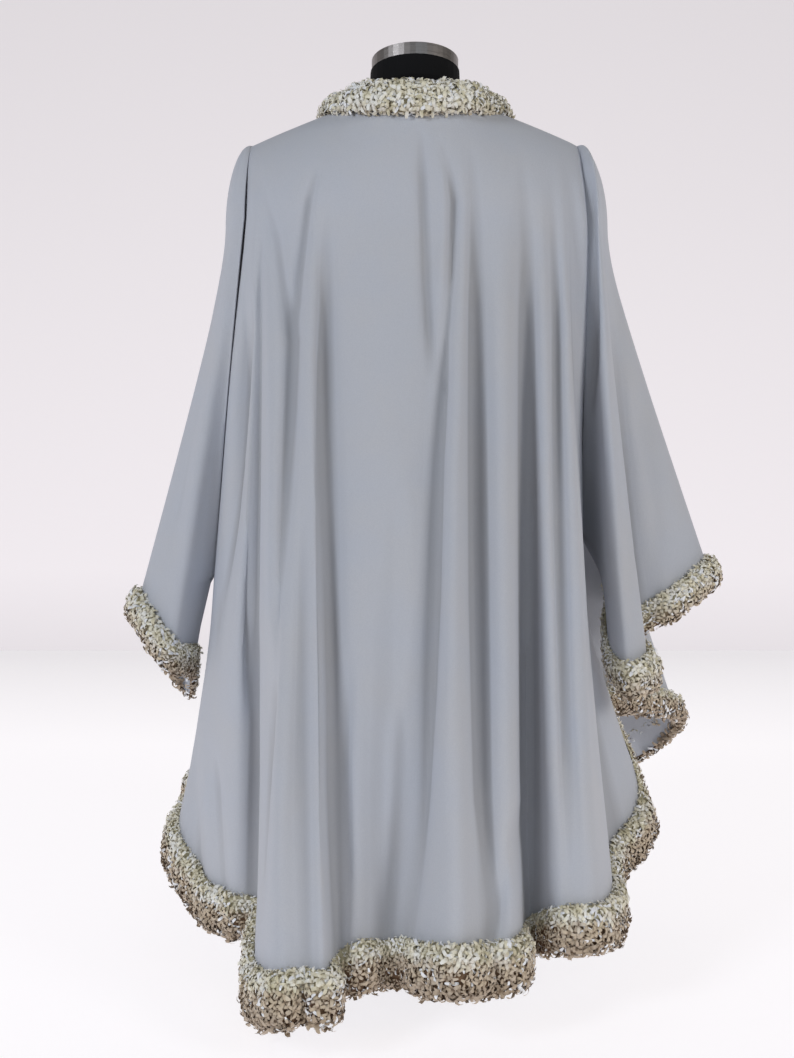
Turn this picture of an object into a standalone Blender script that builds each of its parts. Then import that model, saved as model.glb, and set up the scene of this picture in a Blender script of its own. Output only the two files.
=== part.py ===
"""A burnous cloak of ivory felted wool on a limbless dress form.

Metres, +Z up. The cloak's back faces -Y, its open front faces +Y, and +X is the wearer's
right. The origin is at the middle of the base's underside, where the stand rests.

Every panel of cloth is a loft. Its columns run down the cloth, from the shoulder or the
neckline to the hem, and a table gives one row for each crest or hollow that falls down it.
"""

from collections import namedtuple
import math

import bmesh
import bpy
import numpy as np

NAME = "burnous_cloak"

BACK = -1
FRONT = 1
FIRST = 0
LAST = -1
NEAR_ZERO = 0.0005

# Cloth, seams and the grid of each panel
CLOTH_WALL = 0.0014
SEAM_GAP = 0.0003
SLEEVE_TOP_GAP = 0.0008
COLUMNS_PER_FOLD = 2
SHOULDER_STEPS = (0.0, 0.12, 0.28, 0.44, 0.6, 0.8)
FALL_STEPS = (0.0, 0.08, 0.17, 0.26, 0.35, 0.45, 0.55, 0.65, 0.75, 0.86, 0.95, 1.0)
CUFF_STEPS = (0.35, 0.7, 1.0)
KNOT_POWER = 0.6

# Neckline, shoulders and yoke
NECK_HALF_WIDTH = 0.080
NECK_HALF_DEPTH = 0.080
NECK_DROP = {BACK: 0.011, FRONT: 0.052}
SHOULDER_X = 0.156
SHOULDER_Z = 1.062
SHOULDER_SLOPE = 0.37
YOKE_Z = 0.93
YOKE_DEPTH = 0.135
YOKE_HALF_WIDTH = 0.245
TIP_DRAW = 0.03
TIP_REACH = 0.22

# How a fold grows: slowly out of the yoke, then straight to the hem
GROWTH = 0.15
ARMHOLE_BOW = 0.7
CUFF_SHARE = 0.8
SLEEVE_TOP_ROW = 2
SHARPEST = 0.4
UNDERARM_ROOM = 0.005

# One row for each crest or hollow: where it leaves the yoke, where it meets the hem,
# how far down it starts to swing out, and how far it stands out half way down
Fold = namedtuple("Fold", "x_yoke x_hem y_hem z_hem swing bulge")

BACK_FOLDS = (
    Fold(-0.218, -0.300, 0.040, 0.148, 0.00, 0.000),
    Fold(-0.2110, -0.315, -0.030, 0.116, 0.35, 0.010),
    Fold(-0.2040, -0.257, -0.120, 0.066, 0.20, 0.020),
    Fold(-0.199, -0.217, -0.160, 0.062, 0.05, 0.020),
    Fold(-0.1935, -0.191, -0.172, 0.060, 0.00, 0.000),
    Fold(-0.188, -0.174, -0.275, 0.025, 0.00, 0.000),
    Fold(-0.176, -0.140, -0.340, 0.041, 0.00, 0.004),
    Fold(-0.148, -0.114, -0.338, 0.045, 0.00, -0.005),
    Fold(-0.129, -0.097, -0.345, 0.045, 0.00, 0.004),
    Fold(-0.109, -0.085, -0.315, 0.046, 0.00, -0.012),
    Fold(-0.088, -0.066, -0.325, 0.058, 0.00, 0.000),
    Fold(-0.045, -0.038, -0.250, 0.045, 0.00, 0.012),
    Fold(-0.012, -0.014, -0.262, 0.052, 0.00, 0.010),
    Fold(0.018, 0.002, -0.300, 0.058, 0.00, 0.000),
    Fold(0.046, 0.036, -0.330, 0.067, 0.00, 0.006),
    Fold(0.074, 0.072, -0.306, 0.059, 0.00, -0.012),
    Fold(0.097, 0.097, -0.300, 0.062, 0.00, 0.004),
    Fold(0.134, 0.126, -0.208, 0.052, 0.00, -0.006),
    Fold(0.156, 0.155, -0.248, 0.078, 0.00, 0.004),
    Fold(0.171, 0.171, -0.254, 0.081, 0.00, -0.004),
    Fold(0.184, 0.193, -0.250, 0.081, 0.00, 0.006),
    Fold(0.196, 0.226, -0.190, 0.078, 0.30, 0.010),
    Fold(0.203, 0.241, -0.110, 0.105, 0.55, 0.008),
    Fold(0.209, 0.296, -0.060, 0.153, 0.66, 0.004),
    Fold(0.215, 0.262, 0.020, 0.292, 0.60, 0.000),
)

FRONT_RIGHT_FOLDS = (
    Fold(0.215, 0.262, 0.020, 0.292, 0.60, 0.000),
    Fold(0.2105, 0.290, 0.060, 0.285, 0.78, 0.000),
    Fold(0.205, 0.385, 0.130, 0.257, 0.10, 0.022),
    Fold(0.191, 0.345, 0.172, 0.200, 0.00, 0.028),
    Fold(0.175, 0.280, 0.168, 0.180, 0.10, 0.000),
    Fold(0.160, 0.250, 0.225, 0.168, 0.00, 0.008),
    Fold(0.130, 0.205, 0.262, 0.168, 0.00, 0.000),
    Fold(0.105, 0.165, 0.212, 0.178, 0.00, -0.006),
    Fold(0.075, 0.125, 0.280, 0.168, 0.00, 0.006),
    Fold(0.040, 0.072, 0.272, 0.173, 0.00, 0.000),
)

FRONT_LEFT_FOLDS = (
    Fold(-0.036, -0.066, 0.270, 0.173, 0.00, 0.000),
    Fold(-0.070, -0.112, 0.284, 0.166, 0.00, 0.006),
    Fold(-0.098, -0.150, 0.220, 0.178, 0.00, -0.006),
    Fold(-0.125, -0.190, 0.268, 0.168, 0.00, 0.000),
    Fold(-0.155, -0.240, 0.240, 0.163, 0.00, 0.006),
    Fold(-0.182, -0.258, 0.160, 0.168, 0.20, 0.000),
    Fold(-0.208, -0.315, 0.110, 0.153, 0.30, 0.010),
    Fold(-0.218, -0.300, 0.040, 0.148, 0.00, 0.000),
)

# The same for a sleeve, which has its yoke point's depth too and ends at the cuff
SleeveFold = namedtuple("SleeveFold", "x_yoke y_yoke x_cuff y_cuff z_cuff")

SLEEVE_RIGHT_FOLDS = (
    SleeveFold(0.215, -0.058, 0.266, -0.005, 0.440),
    SleeveFold(0.225, -0.071, 0.243, -0.088, 0.355),
    SleeveFold(0.230, -0.074, 0.256, -0.125, 0.338),
    SleeveFold(0.235, -0.062, 0.287, -0.100, 0.346),
    SleeveFold(0.239, -0.050, 0.281, -0.045, 0.393),
    SleeveFold(0.246, -0.034, 0.335, -0.038, 0.428),
    SleeveFold(0.254, 0.000, 0.399, 0.020, 0.469),
    SleeveFold(0.246, 0.036, 0.352, 0.066, 0.443),
    SleeveFold(0.238, 0.052, 0.318, 0.072, 0.432),
    SleeveFold(0.230, 0.060, 0.288, 0.062, 0.430),
    SleeveFold(0.215, 0.058, 0.266, -0.005, 0.440),
)

SLEEVE_LEFT_FOLDS = (
    SleeveFold(-0.218, 0.062, -0.300, 0.002, 0.345),
    SleeveFold(-0.234, 0.056, -0.315, 0.062, 0.308),
    SleeveFold(-0.240, 0.040, -0.340, 0.055, 0.348),
    SleeveFold(-0.250, 0.000, -0.372, 0.005, 0.424),
    SleeveFold(-0.244, -0.034, -0.340, -0.040, 0.391),
    SleeveFold(-0.235, -0.052, -0.312, -0.052, 0.358),
    SleeveFold(-0.218, -0.062, -0.300, 0.002, 0.345),
)

# The armhole line and the side seam below it, one row for each side
Seam = namedtuple(
    "Seam",
    "tip_x yoke_x yoke_y under_x under_z under_step hem_x hem_y hem_z cuff_x cuff_y cuff_z",
)
SEAMS = {
    "left": Seam(-0.213, -0.218, 0.062, -0.266, 0.468, 0.65, -0.300, 0.040, 0.148, -0.300, 0.002, 0.345),
    "right": Seam(0.213, 0.215, 0.058, 0.219, 0.520, 0.55, 0.262, 0.020, 0.292, 0.266, -0.005, 0.440),
}

# Fluffy trim. Its top is given as share of its width in from the cloth's edge and height
# over the cloth, its lip as distance beyond the edge and height, and the trim round the
# neck as distance in from the neckline and height
TRIM_GAP = 0.0008
NECK_TRIM_GAP = 0.003
TRIM_TOP = (
    (0.92, 0.008),
    (0.66, 0.015),
    (0.33, 0.018),
    (0.00, 0.015),
)
TRIM_LIP = (
    (0.007, 0.008),
    (0.008, 0.000),
    (0.004, -0.003),
)
TRIM_COLUMNS = 2
CORNER_GAP = 0.001
PRESSED = 0.4
END_SHARE = 0.75
END_REACH = 0.007
NECK_SECTION = (
    (0.055, 0.000),
    (0.051, 0.010),
    (0.037, 0.018),
    (0.020, 0.022),
    (0.004, 0.020),
    (-0.003, 0.012),
    (-0.004, 0.004),
    (0.003, 0.000),
    (0.014, 0.000),
    (0.027, 0.000),
    (0.041, 0.000),
)
EDGE_TRIM_START = 0.6
NECK_STATIONS = 40
NECK_FRONT_ANGLE = math.radians(60.0)
WALK_STEPS = 60
WALK_REACH = 0.075
LUMP = 0.08
LUMP_TURNS = 2.3
LUMP_LEAN = 1.7
TRIM_STANDS = 0.020
ROOM_SHARE = 0.5
LEAST_ROOM = 0.06

# Dress form and stand
FormRing = namedtuple("FormRing", "z half_width half_depth")
FORM_SIDES = 32
SHOULDER_REST = 0.0014
NECK_TOP = 1.1405
FORM_RINGS = (
    FormRing(0.390, 0.120, 0.080),
    FormRing(0.396, 0.142, 0.098),
    FormRing(0.415, 0.154, 0.108),
    FormRing(0.470, 0.166, 0.116),
    FormRing(0.540, 0.163, 0.114),
    FormRing(0.610, 0.142, 0.102),
    FormRing(0.680, 0.127, 0.094),
    FormRing(0.750, 0.132, 0.098),
    FormRing(0.830, 0.148, 0.107),
    FormRing(0.900, 0.163, 0.108),
    FormRing(0.960, 0.181, 0.098),
    FormRing(1.000, 0.194, 0.086),
    FormRing(1.024, 0.197, 0.074),
    FormRing(1.040, 0.193, 0.064),
)
FORM_SHOULDER_HEIGHTS = (1.050, 1.060, 1.070)
FORM_SHOULDER_DEPTH = 0.045
SHOULDER_RIDGE = 1.5
FORM_NECK_RINGS = (
    FormRing(1.080, 0.092, 0.036),
    FormRing(1.088, 0.072, 0.042),
    FormRing(1.100, 0.0625, 0.052),
    FormRing(1.115, 0.060, 0.0585),
    FormRing(NECK_TOP, 0.0592, 0.0592),
)
RING_RADIUS = 0.0575
RING_WALL = 0.002
RING_HEIGHT = 0.0153
CAP_RADIUS = 0.0552
CAP_HEIGHT = 0.0135
CAP_BEVEL = 0.0028
TOUCH_GAP = 0.0003
MERGE_REACH = 0.00001
BASE_RADIUS = 0.135
BASE_HEIGHT = 0.012
BASE_EDGE = 0.003
POLE_RADIUS = 0.0125
TURN_SIDES = 48
POLE_SIDES = 24

Finish = namedtuple("Finish", "name colour roughness metallic")
IVORY_WOOL = Finish("ivory_wool", (0.74, 0.74, 0.76), 0.9, 0.0)
CREAM_FLUFF = Finish("cream_fluff", (0.78, 0.72, 0.58), 0.85, 0.0)
BLACK_JERSEY = Finish("black_jersey", (0.012, 0.012, 0.014), 0.8, 0.0)
STEEL = Finish("steel", (0.62, 0.60, 0.58), 0.3, 1.0)
STAND_STEEL = Finish("stand_steel", (0.05, 0.05, 0.05), 0.45, 0.6)
SHARP_ANGLE = math.radians(40.0)


def clear_scene():
    for item in list(bpy.data.objects):
        bpy.data.objects.remove(item)


def paint(finish):
    material = bpy.data.materials.new(finish.name)
    material.use_nodes = True
    shader = material.node_tree.nodes["Principled BSDF"]
    shader.inputs["Base Color"].default_value = (*finish.colour, 1.0)
    shader.inputs["Roughness"].default_value = finish.roughness
    shader.inputs["Metallic"].default_value = finish.metallic
    return material


def add_object(name, mesh, material, smooth=True):
    """Puts a mesh in the cloak's collection as a named object."""
    mesh.materials.append(material)
    if smooth:
        mesh.shade_smooth()
        mesh.set_sharp_from_angle(angle=SHARP_ANGLE)
    item = bpy.data.objects.new(name, mesh)
    bpy.data.collections[NAME].objects.link(item)
    return item


def lerp(start, end, share):
    return start + (end - start) * share


def growth(share):
    """How much of a fold has grown at a share of its fall: slow at first, then even."""
    return share ** 2 * (1 + GROWTH) / (share + GROWTH)


def unit(vectors):
    return vectors / np.linalg.norm(vectors, axis=-1, keepdims=True)


def spread(folds, ends):
    """Smooth curves through the rows of a fold table, sampled evenly between the rows.

    The knots are spaced by the hem's own steps, so that a sharp fold stays sharp.
    """
    rows = np.array(folds, dtype=float)
    steps = np.linalg.norm(np.diff(rows[:, ends], axis=0), axis=1) ** KNOT_POWER
    knots = np.concatenate(([0.0], np.cumsum(steps)))
    slopes = np.gradient(rows, knots, axis=0)
    columns = []
    for i in range(len(rows) - 1):
        width = knots[i + 1] - knots[i]
        for j in range(COLUMNS_PER_FOLD):
            s = j / COLUMNS_PER_FOLD
            columns.append(
                (2 * s ** 3 - 3 * s ** 2 + 1) * rows[i]
                + (s ** 3 - 2 * s ** 2 + s) * width * slopes[i]
                + (3 * s ** 2 - 2 * s ** 3) * rows[i + 1]
                + (s ** 3 - s ** 2) * width * slopes[i + 1]
            )
    columns.append(rows[-1])
    return np.array(columns).T


def shoulder_line(x):
    """Height of the shoulder seam above x."""
    return SHOULDER_Z - SHOULDER_SLOPE * (np.abs(x) - SHOULDER_X)


def top_edge(x, side):
    """Depth and height of the neckline above x, or of the shoulder seam beyond it."""
    roundness = np.sqrt(np.clip(1 - (x / NECK_HALF_WIDTH) ** 2, 0.0, 1.0))
    y = side * NECK_HALF_DEPTH * roundness
    z = shoulder_line(np.maximum(np.abs(x), NECK_HALF_WIDTH)) - NECK_DROP[side] * roundness ** 2
    return y, z


def yoke_edge(x, side):
    """Depth of the cloth at the yoke, where it leaves the shoulder blades or the chest."""
    return side * YOKE_DEPTH * np.sqrt(1 - (x / YOKE_HALF_WIDTH) ** 2)


def over_shoulder(start, yoke, turns):
    """Rounds the cloth from its top edge to the yoke, as a quarter of an ellipse."""
    angle = turns * math.pi / 2
    x = lerp(start[0], yoke[0], turns)
    y = lerp(start[1], yoke[1], np.sin(angle))
    z = lerp(yoke[2], start[2], np.cos(angle))
    return np.stack(np.broadcast_arrays(x, y, z), axis=-1)


def armhole_and_side(seam, side):
    """The seam at a panel's side: over the shoulder tip, round the armhole, down to the hem."""
    turns = np.array(SHOULDER_STEPS)
    steps = np.array(FALL_STEPS)
    tip = (seam.tip_x, 0.0, shoulder_line(seam.tip_x))
    yoke = (seam.yoke_x, side * seam.yoke_y, YOKE_Z)
    shoulder = over_shoulder(tip, yoke, turns)
    above = np.clip(steps / seam.under_step, 0.0, 1.0)
    below = np.clip((steps - seam.under_step) / (1 - seam.under_step), 0.0, 1.0)
    bow = np.clip(np.cos(above * math.pi / 2), 0.0, 1.0) ** ARMHOLE_BOW
    x = lerp(seam.yoke_x, seam.under_x, above) + (seam.hem_x - seam.under_x) * below ** 2
    y = side * seam.yoke_y * bow + seam.hem_y * below
    z = lerp(YOKE_Z, seam.under_z, above) + (seam.hem_z - seam.under_z) * below
    return np.concatenate((shoulder, np.stack((x, y, z), axis=-1)))


def draw_to_seam(grid, line, first):
    """Moves a grid's outer columns onto a seam line, less and less up to the first fold."""
    edge = 0 if first else -1
    shift = line - grid[:, edge]
    for j in range(COLUMNS_PER_FOLD):
        column = j if first else -1 - j
        grid[:, column] += shift * (1 - j / COLUMNS_PER_FOLD) ** 2


def body_grid(folds, side, seam_first=None, seam_last=None):
    """Points of a back or front panel, a row for each step down and a column across."""
    x_yoke, x_hem, y_hem, z_hem, swing, bulge = spread(folds, [1, 2, 3])
    x_top = x_yoke * (1 - TIP_DRAW * (x_yoke / TIP_REACH) ** 4)
    y_top, z_top = top_edge(x_top, side)
    y_yoke = yoke_edge(x_yoke, side)
    turns = np.array(SHOULDER_STEPS)[:, None]
    shoulder = over_shoulder((x_top, y_top, z_top), (x_yoke, y_yoke, YOKE_Z), turns)
    steps = np.array(FALL_STEPS)[:, None]
    grown = growth(np.clip((steps - swing) / (1 - swing), 0.0, 1.0))
    x = lerp(x_yoke, x_hem, grown)
    y = lerp(y_yoke, y_hem, grown) + side * bulge * np.sin(math.pi * steps)
    z = lerp(YOKE_Z, z_hem, steps)
    grid = np.concatenate((shoulder, np.stack((x, y, z), axis=-1)))
    for seam, first in ((seam_first, True), (seam_last, False)):
        if seam:
            draw_to_seam(grid, armhole_and_side(seam, side), first)
    return grid


def under_row(seam):
    """Number of the row at which a panel's side meets the underarm."""
    return len(SHOULDER_STEPS) + FALL_STEPS.index(seam.under_step)


def sleeve_grid(folds, seam, sides):
    """Points of a sleeve, from one edge of the armhole round its outer fold to the other."""
    x_yoke, y_yoke, x_cuff, y_cuff, z_cuff = spread(folds, [2, 3, 4])
    last = under_row(seam)
    lines = [armhole_and_side(seam, side)[:last + 1] for side in sides]
    under = lines[0][-1]
    cuff = np.array((seam.cuff_x, seam.cuff_y, seam.cuff_z))
    over_tip = np.concatenate((lines[0][SLEEVE_TOP_ROW::-1], lines[1][1:SLEEVE_TOP_ROW + 1]))
    top = np.array([along(over_tip, share) for share in np.linspace(0.0, 1.0, len(x_yoke))])
    turns = np.array(SHOULDER_STEPS[SLEEVE_TOP_ROW:])
    turns = (turns - turns[0]) / (1 - turns[0])
    angle = turns[:, None] * math.pi / 2
    shoulder = np.stack(
        (
            lerp(top[:, 0], x_yoke, np.sin(angle)),
            lerp(top[:, 1], y_yoke, np.sin(angle)),
            lerp(YOKE_Z, top[:, 2], np.cos(angle)),
        ),
        axis=-1,
    )
    upper = np.array(FALL_STEPS[:FALL_STEPS.index(seam.under_step) + 1]) / seam.under_step
    lower = np.array(CUFF_STEPS)
    shares = np.concatenate((upper * CUFF_SHARE, lerp(CUFF_SHARE, 1.0, lower)))[:, None]
    grown = growth(shares)
    fall = np.stack(
        (
            lerp(x_yoke, x_cuff, grown),
            lerp(y_yoke, y_cuff, grown),
            lerp(YOKE_Z, z_cuff, shares),
        ),
        axis=-1,
    )
    grid = np.concatenate((shoulder, fall))
    outside = under + np.array((math.copysign(UNDERARM_ROOM, seam.tip_x), 0.0, 0.0))
    inner_seam = outside + (cuff - outside) * np.concatenate(([0.0], lower))[:, None]
    for line, first in zip(lines, (True, False)):
        draw_to_seam(grid, np.concatenate((line[SLEEVE_TOP_ROW:-1], inner_seam)), first)
    return grid


class Panel:
    """A grid of points on a cloth's middle surface, with the direction its face points."""

    def __init__(self, points):
        self.points = points
        down = np.gradient(points, axis=0)
        across = np.diff(points, axis=1)
        before = unit(np.cross(down, across[:, [0, *range(across.shape[1])]]))
        after = unit(np.cross(down, across[:, [*range(across.shape[1]), -1]]))
        self.own = unit(before + after)
        self.turn = np.sum(self.own * after, axis=-1, keepdims=True)
        self.facing = self.own.copy()

    def draw_in(self, axis, edge, gap):
        """Moves one edge into the panel, square to the edge and to its facing."""
        inner = 1 if edge == 0 else -2
        rim = self.points.take(edge, axis=axis)
        inward = self.points.take(inner, axis=axis) - rim
        along = unit(np.gradient(rim, axis=0))
        facing = self.facing.take(edge, axis=axis)
        inward = inward - facing * np.sum(inward * facing, axis=-1, keepdims=True)
        square = unit(np.cross(facing, along))
        square *= np.sign(np.sum(square * inward))
        if axis == 0:
            self.points[edge] += square * gap
        else:
            self.points[:, edge] += square * gap

    def skin(self, height):
        """The surface at a height above the middle, mitred where a seam turns."""
        shared = np.sum(self.own * self.facing, axis=-1, keepdims=True)
        mitre = 1 / np.clip(shared * self.turn, SHARPEST, 1.0)
        return self.points + self.facing * mitre * height


def meet(*places):
    """Gives the places where panels meet at a seam one shared facing."""
    facing = unit(sum(panel.own[row, column] for panel, row, column in places))
    for panel, row, column in places:
        panel.facing[row, column] = facing


def sew(back, front, sleeve, seam, back_column, front_column, sleeve_back, sleeve_front):
    """Shares the facings along one side's armhole, side seam and underarm seam."""
    under = under_row(seam)
    top = slice(SLEEVE_TOP_ROW, None, -1)
    rest = slice(1, SLEEVE_TOP_ROW + 1)
    order = 1 if sleeve_back == 0 else -1
    over_tip = np.concatenate((back.own[top, back_column], front.own[rest, front_column]))
    upper = sleeve.own[1, ::order]
    shares = np.linspace(0.0, 1.0, len(over_tip))
    over_tip = unit(over_tip + [along(upper, share) for share in shares])
    back.facing[top, back_column] = over_tip[:SLEEVE_TOP_ROW + 1]
    front.facing[:SLEEVE_TOP_ROW + 1, front_column] = over_tip[SLEEVE_TOP_ROW:]
    shares = np.linspace(0.0, 1.0, len(upper))
    sleeve.facing[0, ::order] = unit(np.array([along(over_tip, share) for share in shares]))
    sleeve.own[0] = sleeve.facing[0]
    sleeve.turn[0] = 1.0
    for row in range(SLEEVE_TOP_ROW + 1, under):
        meet((back, row, back_column), (sleeve, row - SLEEVE_TOP_ROW, sleeve_back))
        meet((front, row, front_column), (sleeve, row - SLEEVE_TOP_ROW, sleeve_front))
    for row in range(under, len(back.points)):
        meet((back, row, back_column), (front, row, front_column))
    for row in range(under - SLEEVE_TOP_ROW, len(sleeve.points)):
        meet((sleeve, row, 0), (sleeve, row, -1))


def face_shoulder_up(panel):
    """Along the shoulder seam both panels face square to the seam."""
    x = panel.points[0, :, 0]
    lies_on_shoulder = np.abs(x) >= NECK_HALF_WIDTH
    up = np.stack((np.sign(x) * SHOULDER_SLOPE, np.zeros_like(x), np.ones_like(x)), axis=-1)
    panel.facing[0][lies_on_shoulder] = unit(up)[lies_on_shoulder]
    panel.own[0][lies_on_shoulder] = unit(up)[lies_on_shoulder]


def cloth_mesh(name, panel):
    """Closes a panel into a wall: an outer and an inner skin, and a rim all round."""
    rows, columns = panel.points.shape[:2]
    outer = panel.skin(CLOTH_WALL / 2).reshape(-1, 3)
    inner = panel.skin(-CLOTH_WALL / 2).reshape(-1, 3)
    back = rows * columns
    at = np.arange(back).reshape(rows, columns)
    faces = []
    for r in range(rows - 1):
        for c in range(columns - 1):
            a, b, d, e = at[r, c], at[r + 1, c], at[r + 1, c + 1], at[r, c + 1]
            if r == 0 and c == columns - 2:
                a, b, d, e = b, d, e, a
            faces.extend(((a, b, d), (a, d, e)))
            faces.extend(((d + back, b + back, a + back), (e + back, d + back, a + back)))
    rim = list(at[0, :]) + list(at[1:, -1]) + list(at[-1, -2::-1]) + list(at[-2:0:-1, 0])
    for a, b in zip(rim, rim[1:] + rim[:1]):
        faces.extend(((a, b, b + back), (a, b + back, a + back)))
    mesh = bpy.data.meshes.new(name)
    mesh.from_pydata(np.concatenate((outer, inner)).tolist(), [], np.array(faces).tolist())
    return mesh


def ring_mesh(name, rings, lean=1):
    """Skins a row of closed rings with triangles that lean one way, and caps both ends."""
    count = len(rings[0])
    points = np.concatenate(rings).tolist()
    faces = []
    for i in range(len(rings) - 1):
        for j in range(count):
            a = i * count + j
            b = i * count + (j + 1) % count
            if lean > 0:
                faces.extend(((a, b, b + count), (a, b + count, a + count)))
            else:
                faces.extend(((a, b, a + count), (b, b + count, a + count)))
    faces.append(tuple(range(count)))
    faces.append(tuple(range((len(rings) - 1) * count, len(rings) * count)))
    mesh = bpy.data.meshes.new(name)
    mesh.from_pydata(points, [], faces)
    work = bmesh.new()
    work.from_mesh(mesh)
    bmesh.ops.recalc_face_normals(work, faces=work.faces)
    work.to_mesh(mesh)
    work.free()
    return mesh


def trim_room(places, facings, walls):
    """Share of its full height that the trim has room for, at each place along an edge.

    The room is the radius of the largest ball that touches the cloth there and reaches no
    other place of the edge, seen from above.
    """
    room = []
    for place, facing in zip(places, facings):
        towards = unit(facing[:2])
        apart = walls[:, :2] - place[:2]
        ahead = apart @ towards
        near = ahead > NEAR_ZERO
        radii = np.sum(apart[near] ** 2, axis=1) / (2 * ahead[near])
        radius = min(radii, default=TRIM_STANDS / ROOM_SHARE)
        room.append(np.clip(ROOM_SHARE * radius / TRIM_STANDS, LEAST_ROOM, 1.0))
    return np.array(room)


def lump(place, k):
    return 1 + LUMP * math.sin(place * LUMP_TURNS + k * LUMP_LEAN)


def along(points, share):
    """Place at a share of the way along a short line of points."""
    at = share * (len(points) - 1)
    return np.array([np.interp(at, range(len(points)), points[:, i]) for i in range(3)])


def trim_ring(base, facing, rise):
    """One section of trim; its base runs just off the cloth, from the edge to the inner side."""
    over = unit(base[0] - base[1])
    ring = [base[-1]]
    for k, (share, height) in enumerate(TRIM_TOP):
        ring.append(along(base, share) + along(facing, share) * height * rise * lump(rise, k))
    for beyond, height in TRIM_LIP:
        ring.append(base[0] + over * beyond + facing[0] * height * rise)
    ring.extend(base[:-1])
    return np.array(ring)


def hem_rings(panel, walls, front=None, body=0):
    """Trim along a panel's lower edge, up to the trim down its front edge if it has one.

    Where a cuff faces the body, which lies on the side that is given, it is pressed thin.
    """
    base = panel.skin(CLOTH_WALL / 2 + TRIM_GAP)[-1:-3:-1]
    facing = panel.facing[-1:-3:-1]
    room = trim_room(base[0], facing[0], walls)
    if body:
        room *= lerp(1.0, PRESSED, np.clip(body * facing[0, :, 0], 0.0, 1.0))
    if front is not None:
        corner, inner = (TRIM_COLUMNS, 1) if front == FIRST else (-1 - TRIM_COLUMNS, -1)
        step = base[:, corner + inner] - base[:, corner]
        base[:, corner] += unit(step) * CORNER_GAP
        kept = slice(TRIM_COLUMNS, None) if front == FIRST else slice(None, -TRIM_COLUMNS)
        base, facing, room = base[:, kept], facing[:, kept], room[kept]
    return [trim_ring(base[:, c], facing[:, c], room[c]) for c in range(base.shape[1])]


def front_rings(panel, front, top_row, walls):
    """Trim down a panel's front edge, which is its first or its last column."""
    columns = slice(0, TRIM_COLUMNS + 1) if front == FIRST else slice(-1, -2 - TRIM_COLUMNS, -1)
    base = panel.skin(CLOTH_WALL / 2 + TRIM_GAP)[top_row:, columns]
    facing = panel.facing[top_row:, columns]
    room = trim_room(base[:, 0], facing[:, 0], walls)
    rings = [trim_ring(base[r], facing[r], room[r]) for r in range(len(base))]
    down = unit(base[-1, 0] - base[-2, 0])
    middle = rings[-1].mean(axis=0)
    rings.append(lerp(middle, rings[-1], END_SHARE) + down * END_REACH)
    return rings


def walk(line, facing, distance):
    """Point and facing at a distance along a line of points, or just before its start."""
    lengths = np.concatenate(([0.0], np.cumsum(np.linalg.norm(np.diff(line, axis=0), axis=1))))
    place = max(distance, 0.0)
    point = np.array([np.interp(place, lengths, line[:, i]) for i in range(3)])
    towards = unit(np.array([np.interp(place, lengths, facing[:, i]) for i in range(3)]))
    if distance < 0:
        point = point + unit(line[1] - line[0]) * distance
    return point, towards


def shoulder_surface(x, y):
    """Height of the cloth over the shoulders, above a point."""
    side = BACK if y < 0 else FRONT
    y_top, z_top = top_edge(x, side)
    y_yoke = yoke_edge(x, side)
    share = np.clip((y - y_top) / (y_yoke - y_top), 0.0, 1.0)
    return lerp(YOKE_Z, z_top, math.sqrt(1 - share ** 2))


def neck_lines():
    """Lines out from the neckline over the shoulders, from front right round to front left."""
    lines = []
    for angle in np.linspace(NECK_FRONT_ANGLE, -math.pi - NECK_FRONT_ANGLE, NECK_STATIONS):
        x = NECK_HALF_WIDTH * math.cos(angle)
        y = NECK_HALF_DEPTH * math.sin(angle)
        outwards = angle
        if angle > 0:
            outwards = angle / NECK_FRONT_ANGLE * math.pi / 2
        if angle < -math.pi:
            outwards = -math.pi + (angle + math.pi) / NECK_FRONT_ANGLE * math.pi / 2
        line = []
        for reach in np.linspace(0.0, WALK_REACH, WALK_STEPS):
            px = x + reach * math.cos(outwards)
            py = y + reach * math.sin(outwards)
            side = BACK if py < 0 else FRONT
            if abs(py) > abs(yoke_edge(px, side)):
                break
            line.append((px, py, shoulder_surface(px, py)))
        lines.append(np.array(line))
    return lines


def neck_rings():
    """The trim round the neck, which lies over the shoulders, the back and both fronts."""
    lines = neck_lines()
    rings = []
    for i, line in enumerate(lines):
        before = lines[max(i - 1, 0)]
        after = lines[min(i + 1, len(lines) - 1)]
        count = min(len(before), len(after), len(line))
        down = np.gradient(line[:count], axis=0)
        across = after[:count] - before[:count]
        facing = unit(np.cross(across, down))
        facing *= np.sign(facing[:, 2:3])
        ring = []
        for k, (inwards, height) in enumerate(NECK_SECTION):
            point, towards = walk(line[:count], facing, inwards)
            rise = height * lump(i, k)
            ring.append(point + towards * (CLOTH_WALL / 2 + NECK_TRIM_GAP + rise))
        rings.append(np.array(ring))
    return rings


def form_mesh():
    """The torso and neck of the dress form, one closed body under the cloth."""
    shoulders = []
    for z in FORM_SHOULDER_HEIGHTS:
        half_width = SHOULDER_X + (SHOULDER_Z - SHOULDER_REST - z) / SHOULDER_SLOPE
        shoulders.append(FormRing(z, half_width, FORM_SHOULDER_DEPTH))
    angles = np.linspace(0.0, 2 * math.pi, FORM_SIDES, endpoint=False)
    loops = []
    for ring in (*FORM_RINGS, *shoulders, *FORM_NECK_RINGS):
        power = SHOULDER_RIDGE if ring in shoulders else 1.0
        sine = np.sin(angles)
        x = ring.half_width * np.cos(angles)
        y = ring.half_depth * np.sign(sine) * np.abs(sine) ** power
        loops.append(np.stack((x, y, np.full_like(x, ring.z)), axis=-1))
    return ring_mesh("form_body", loops)


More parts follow.
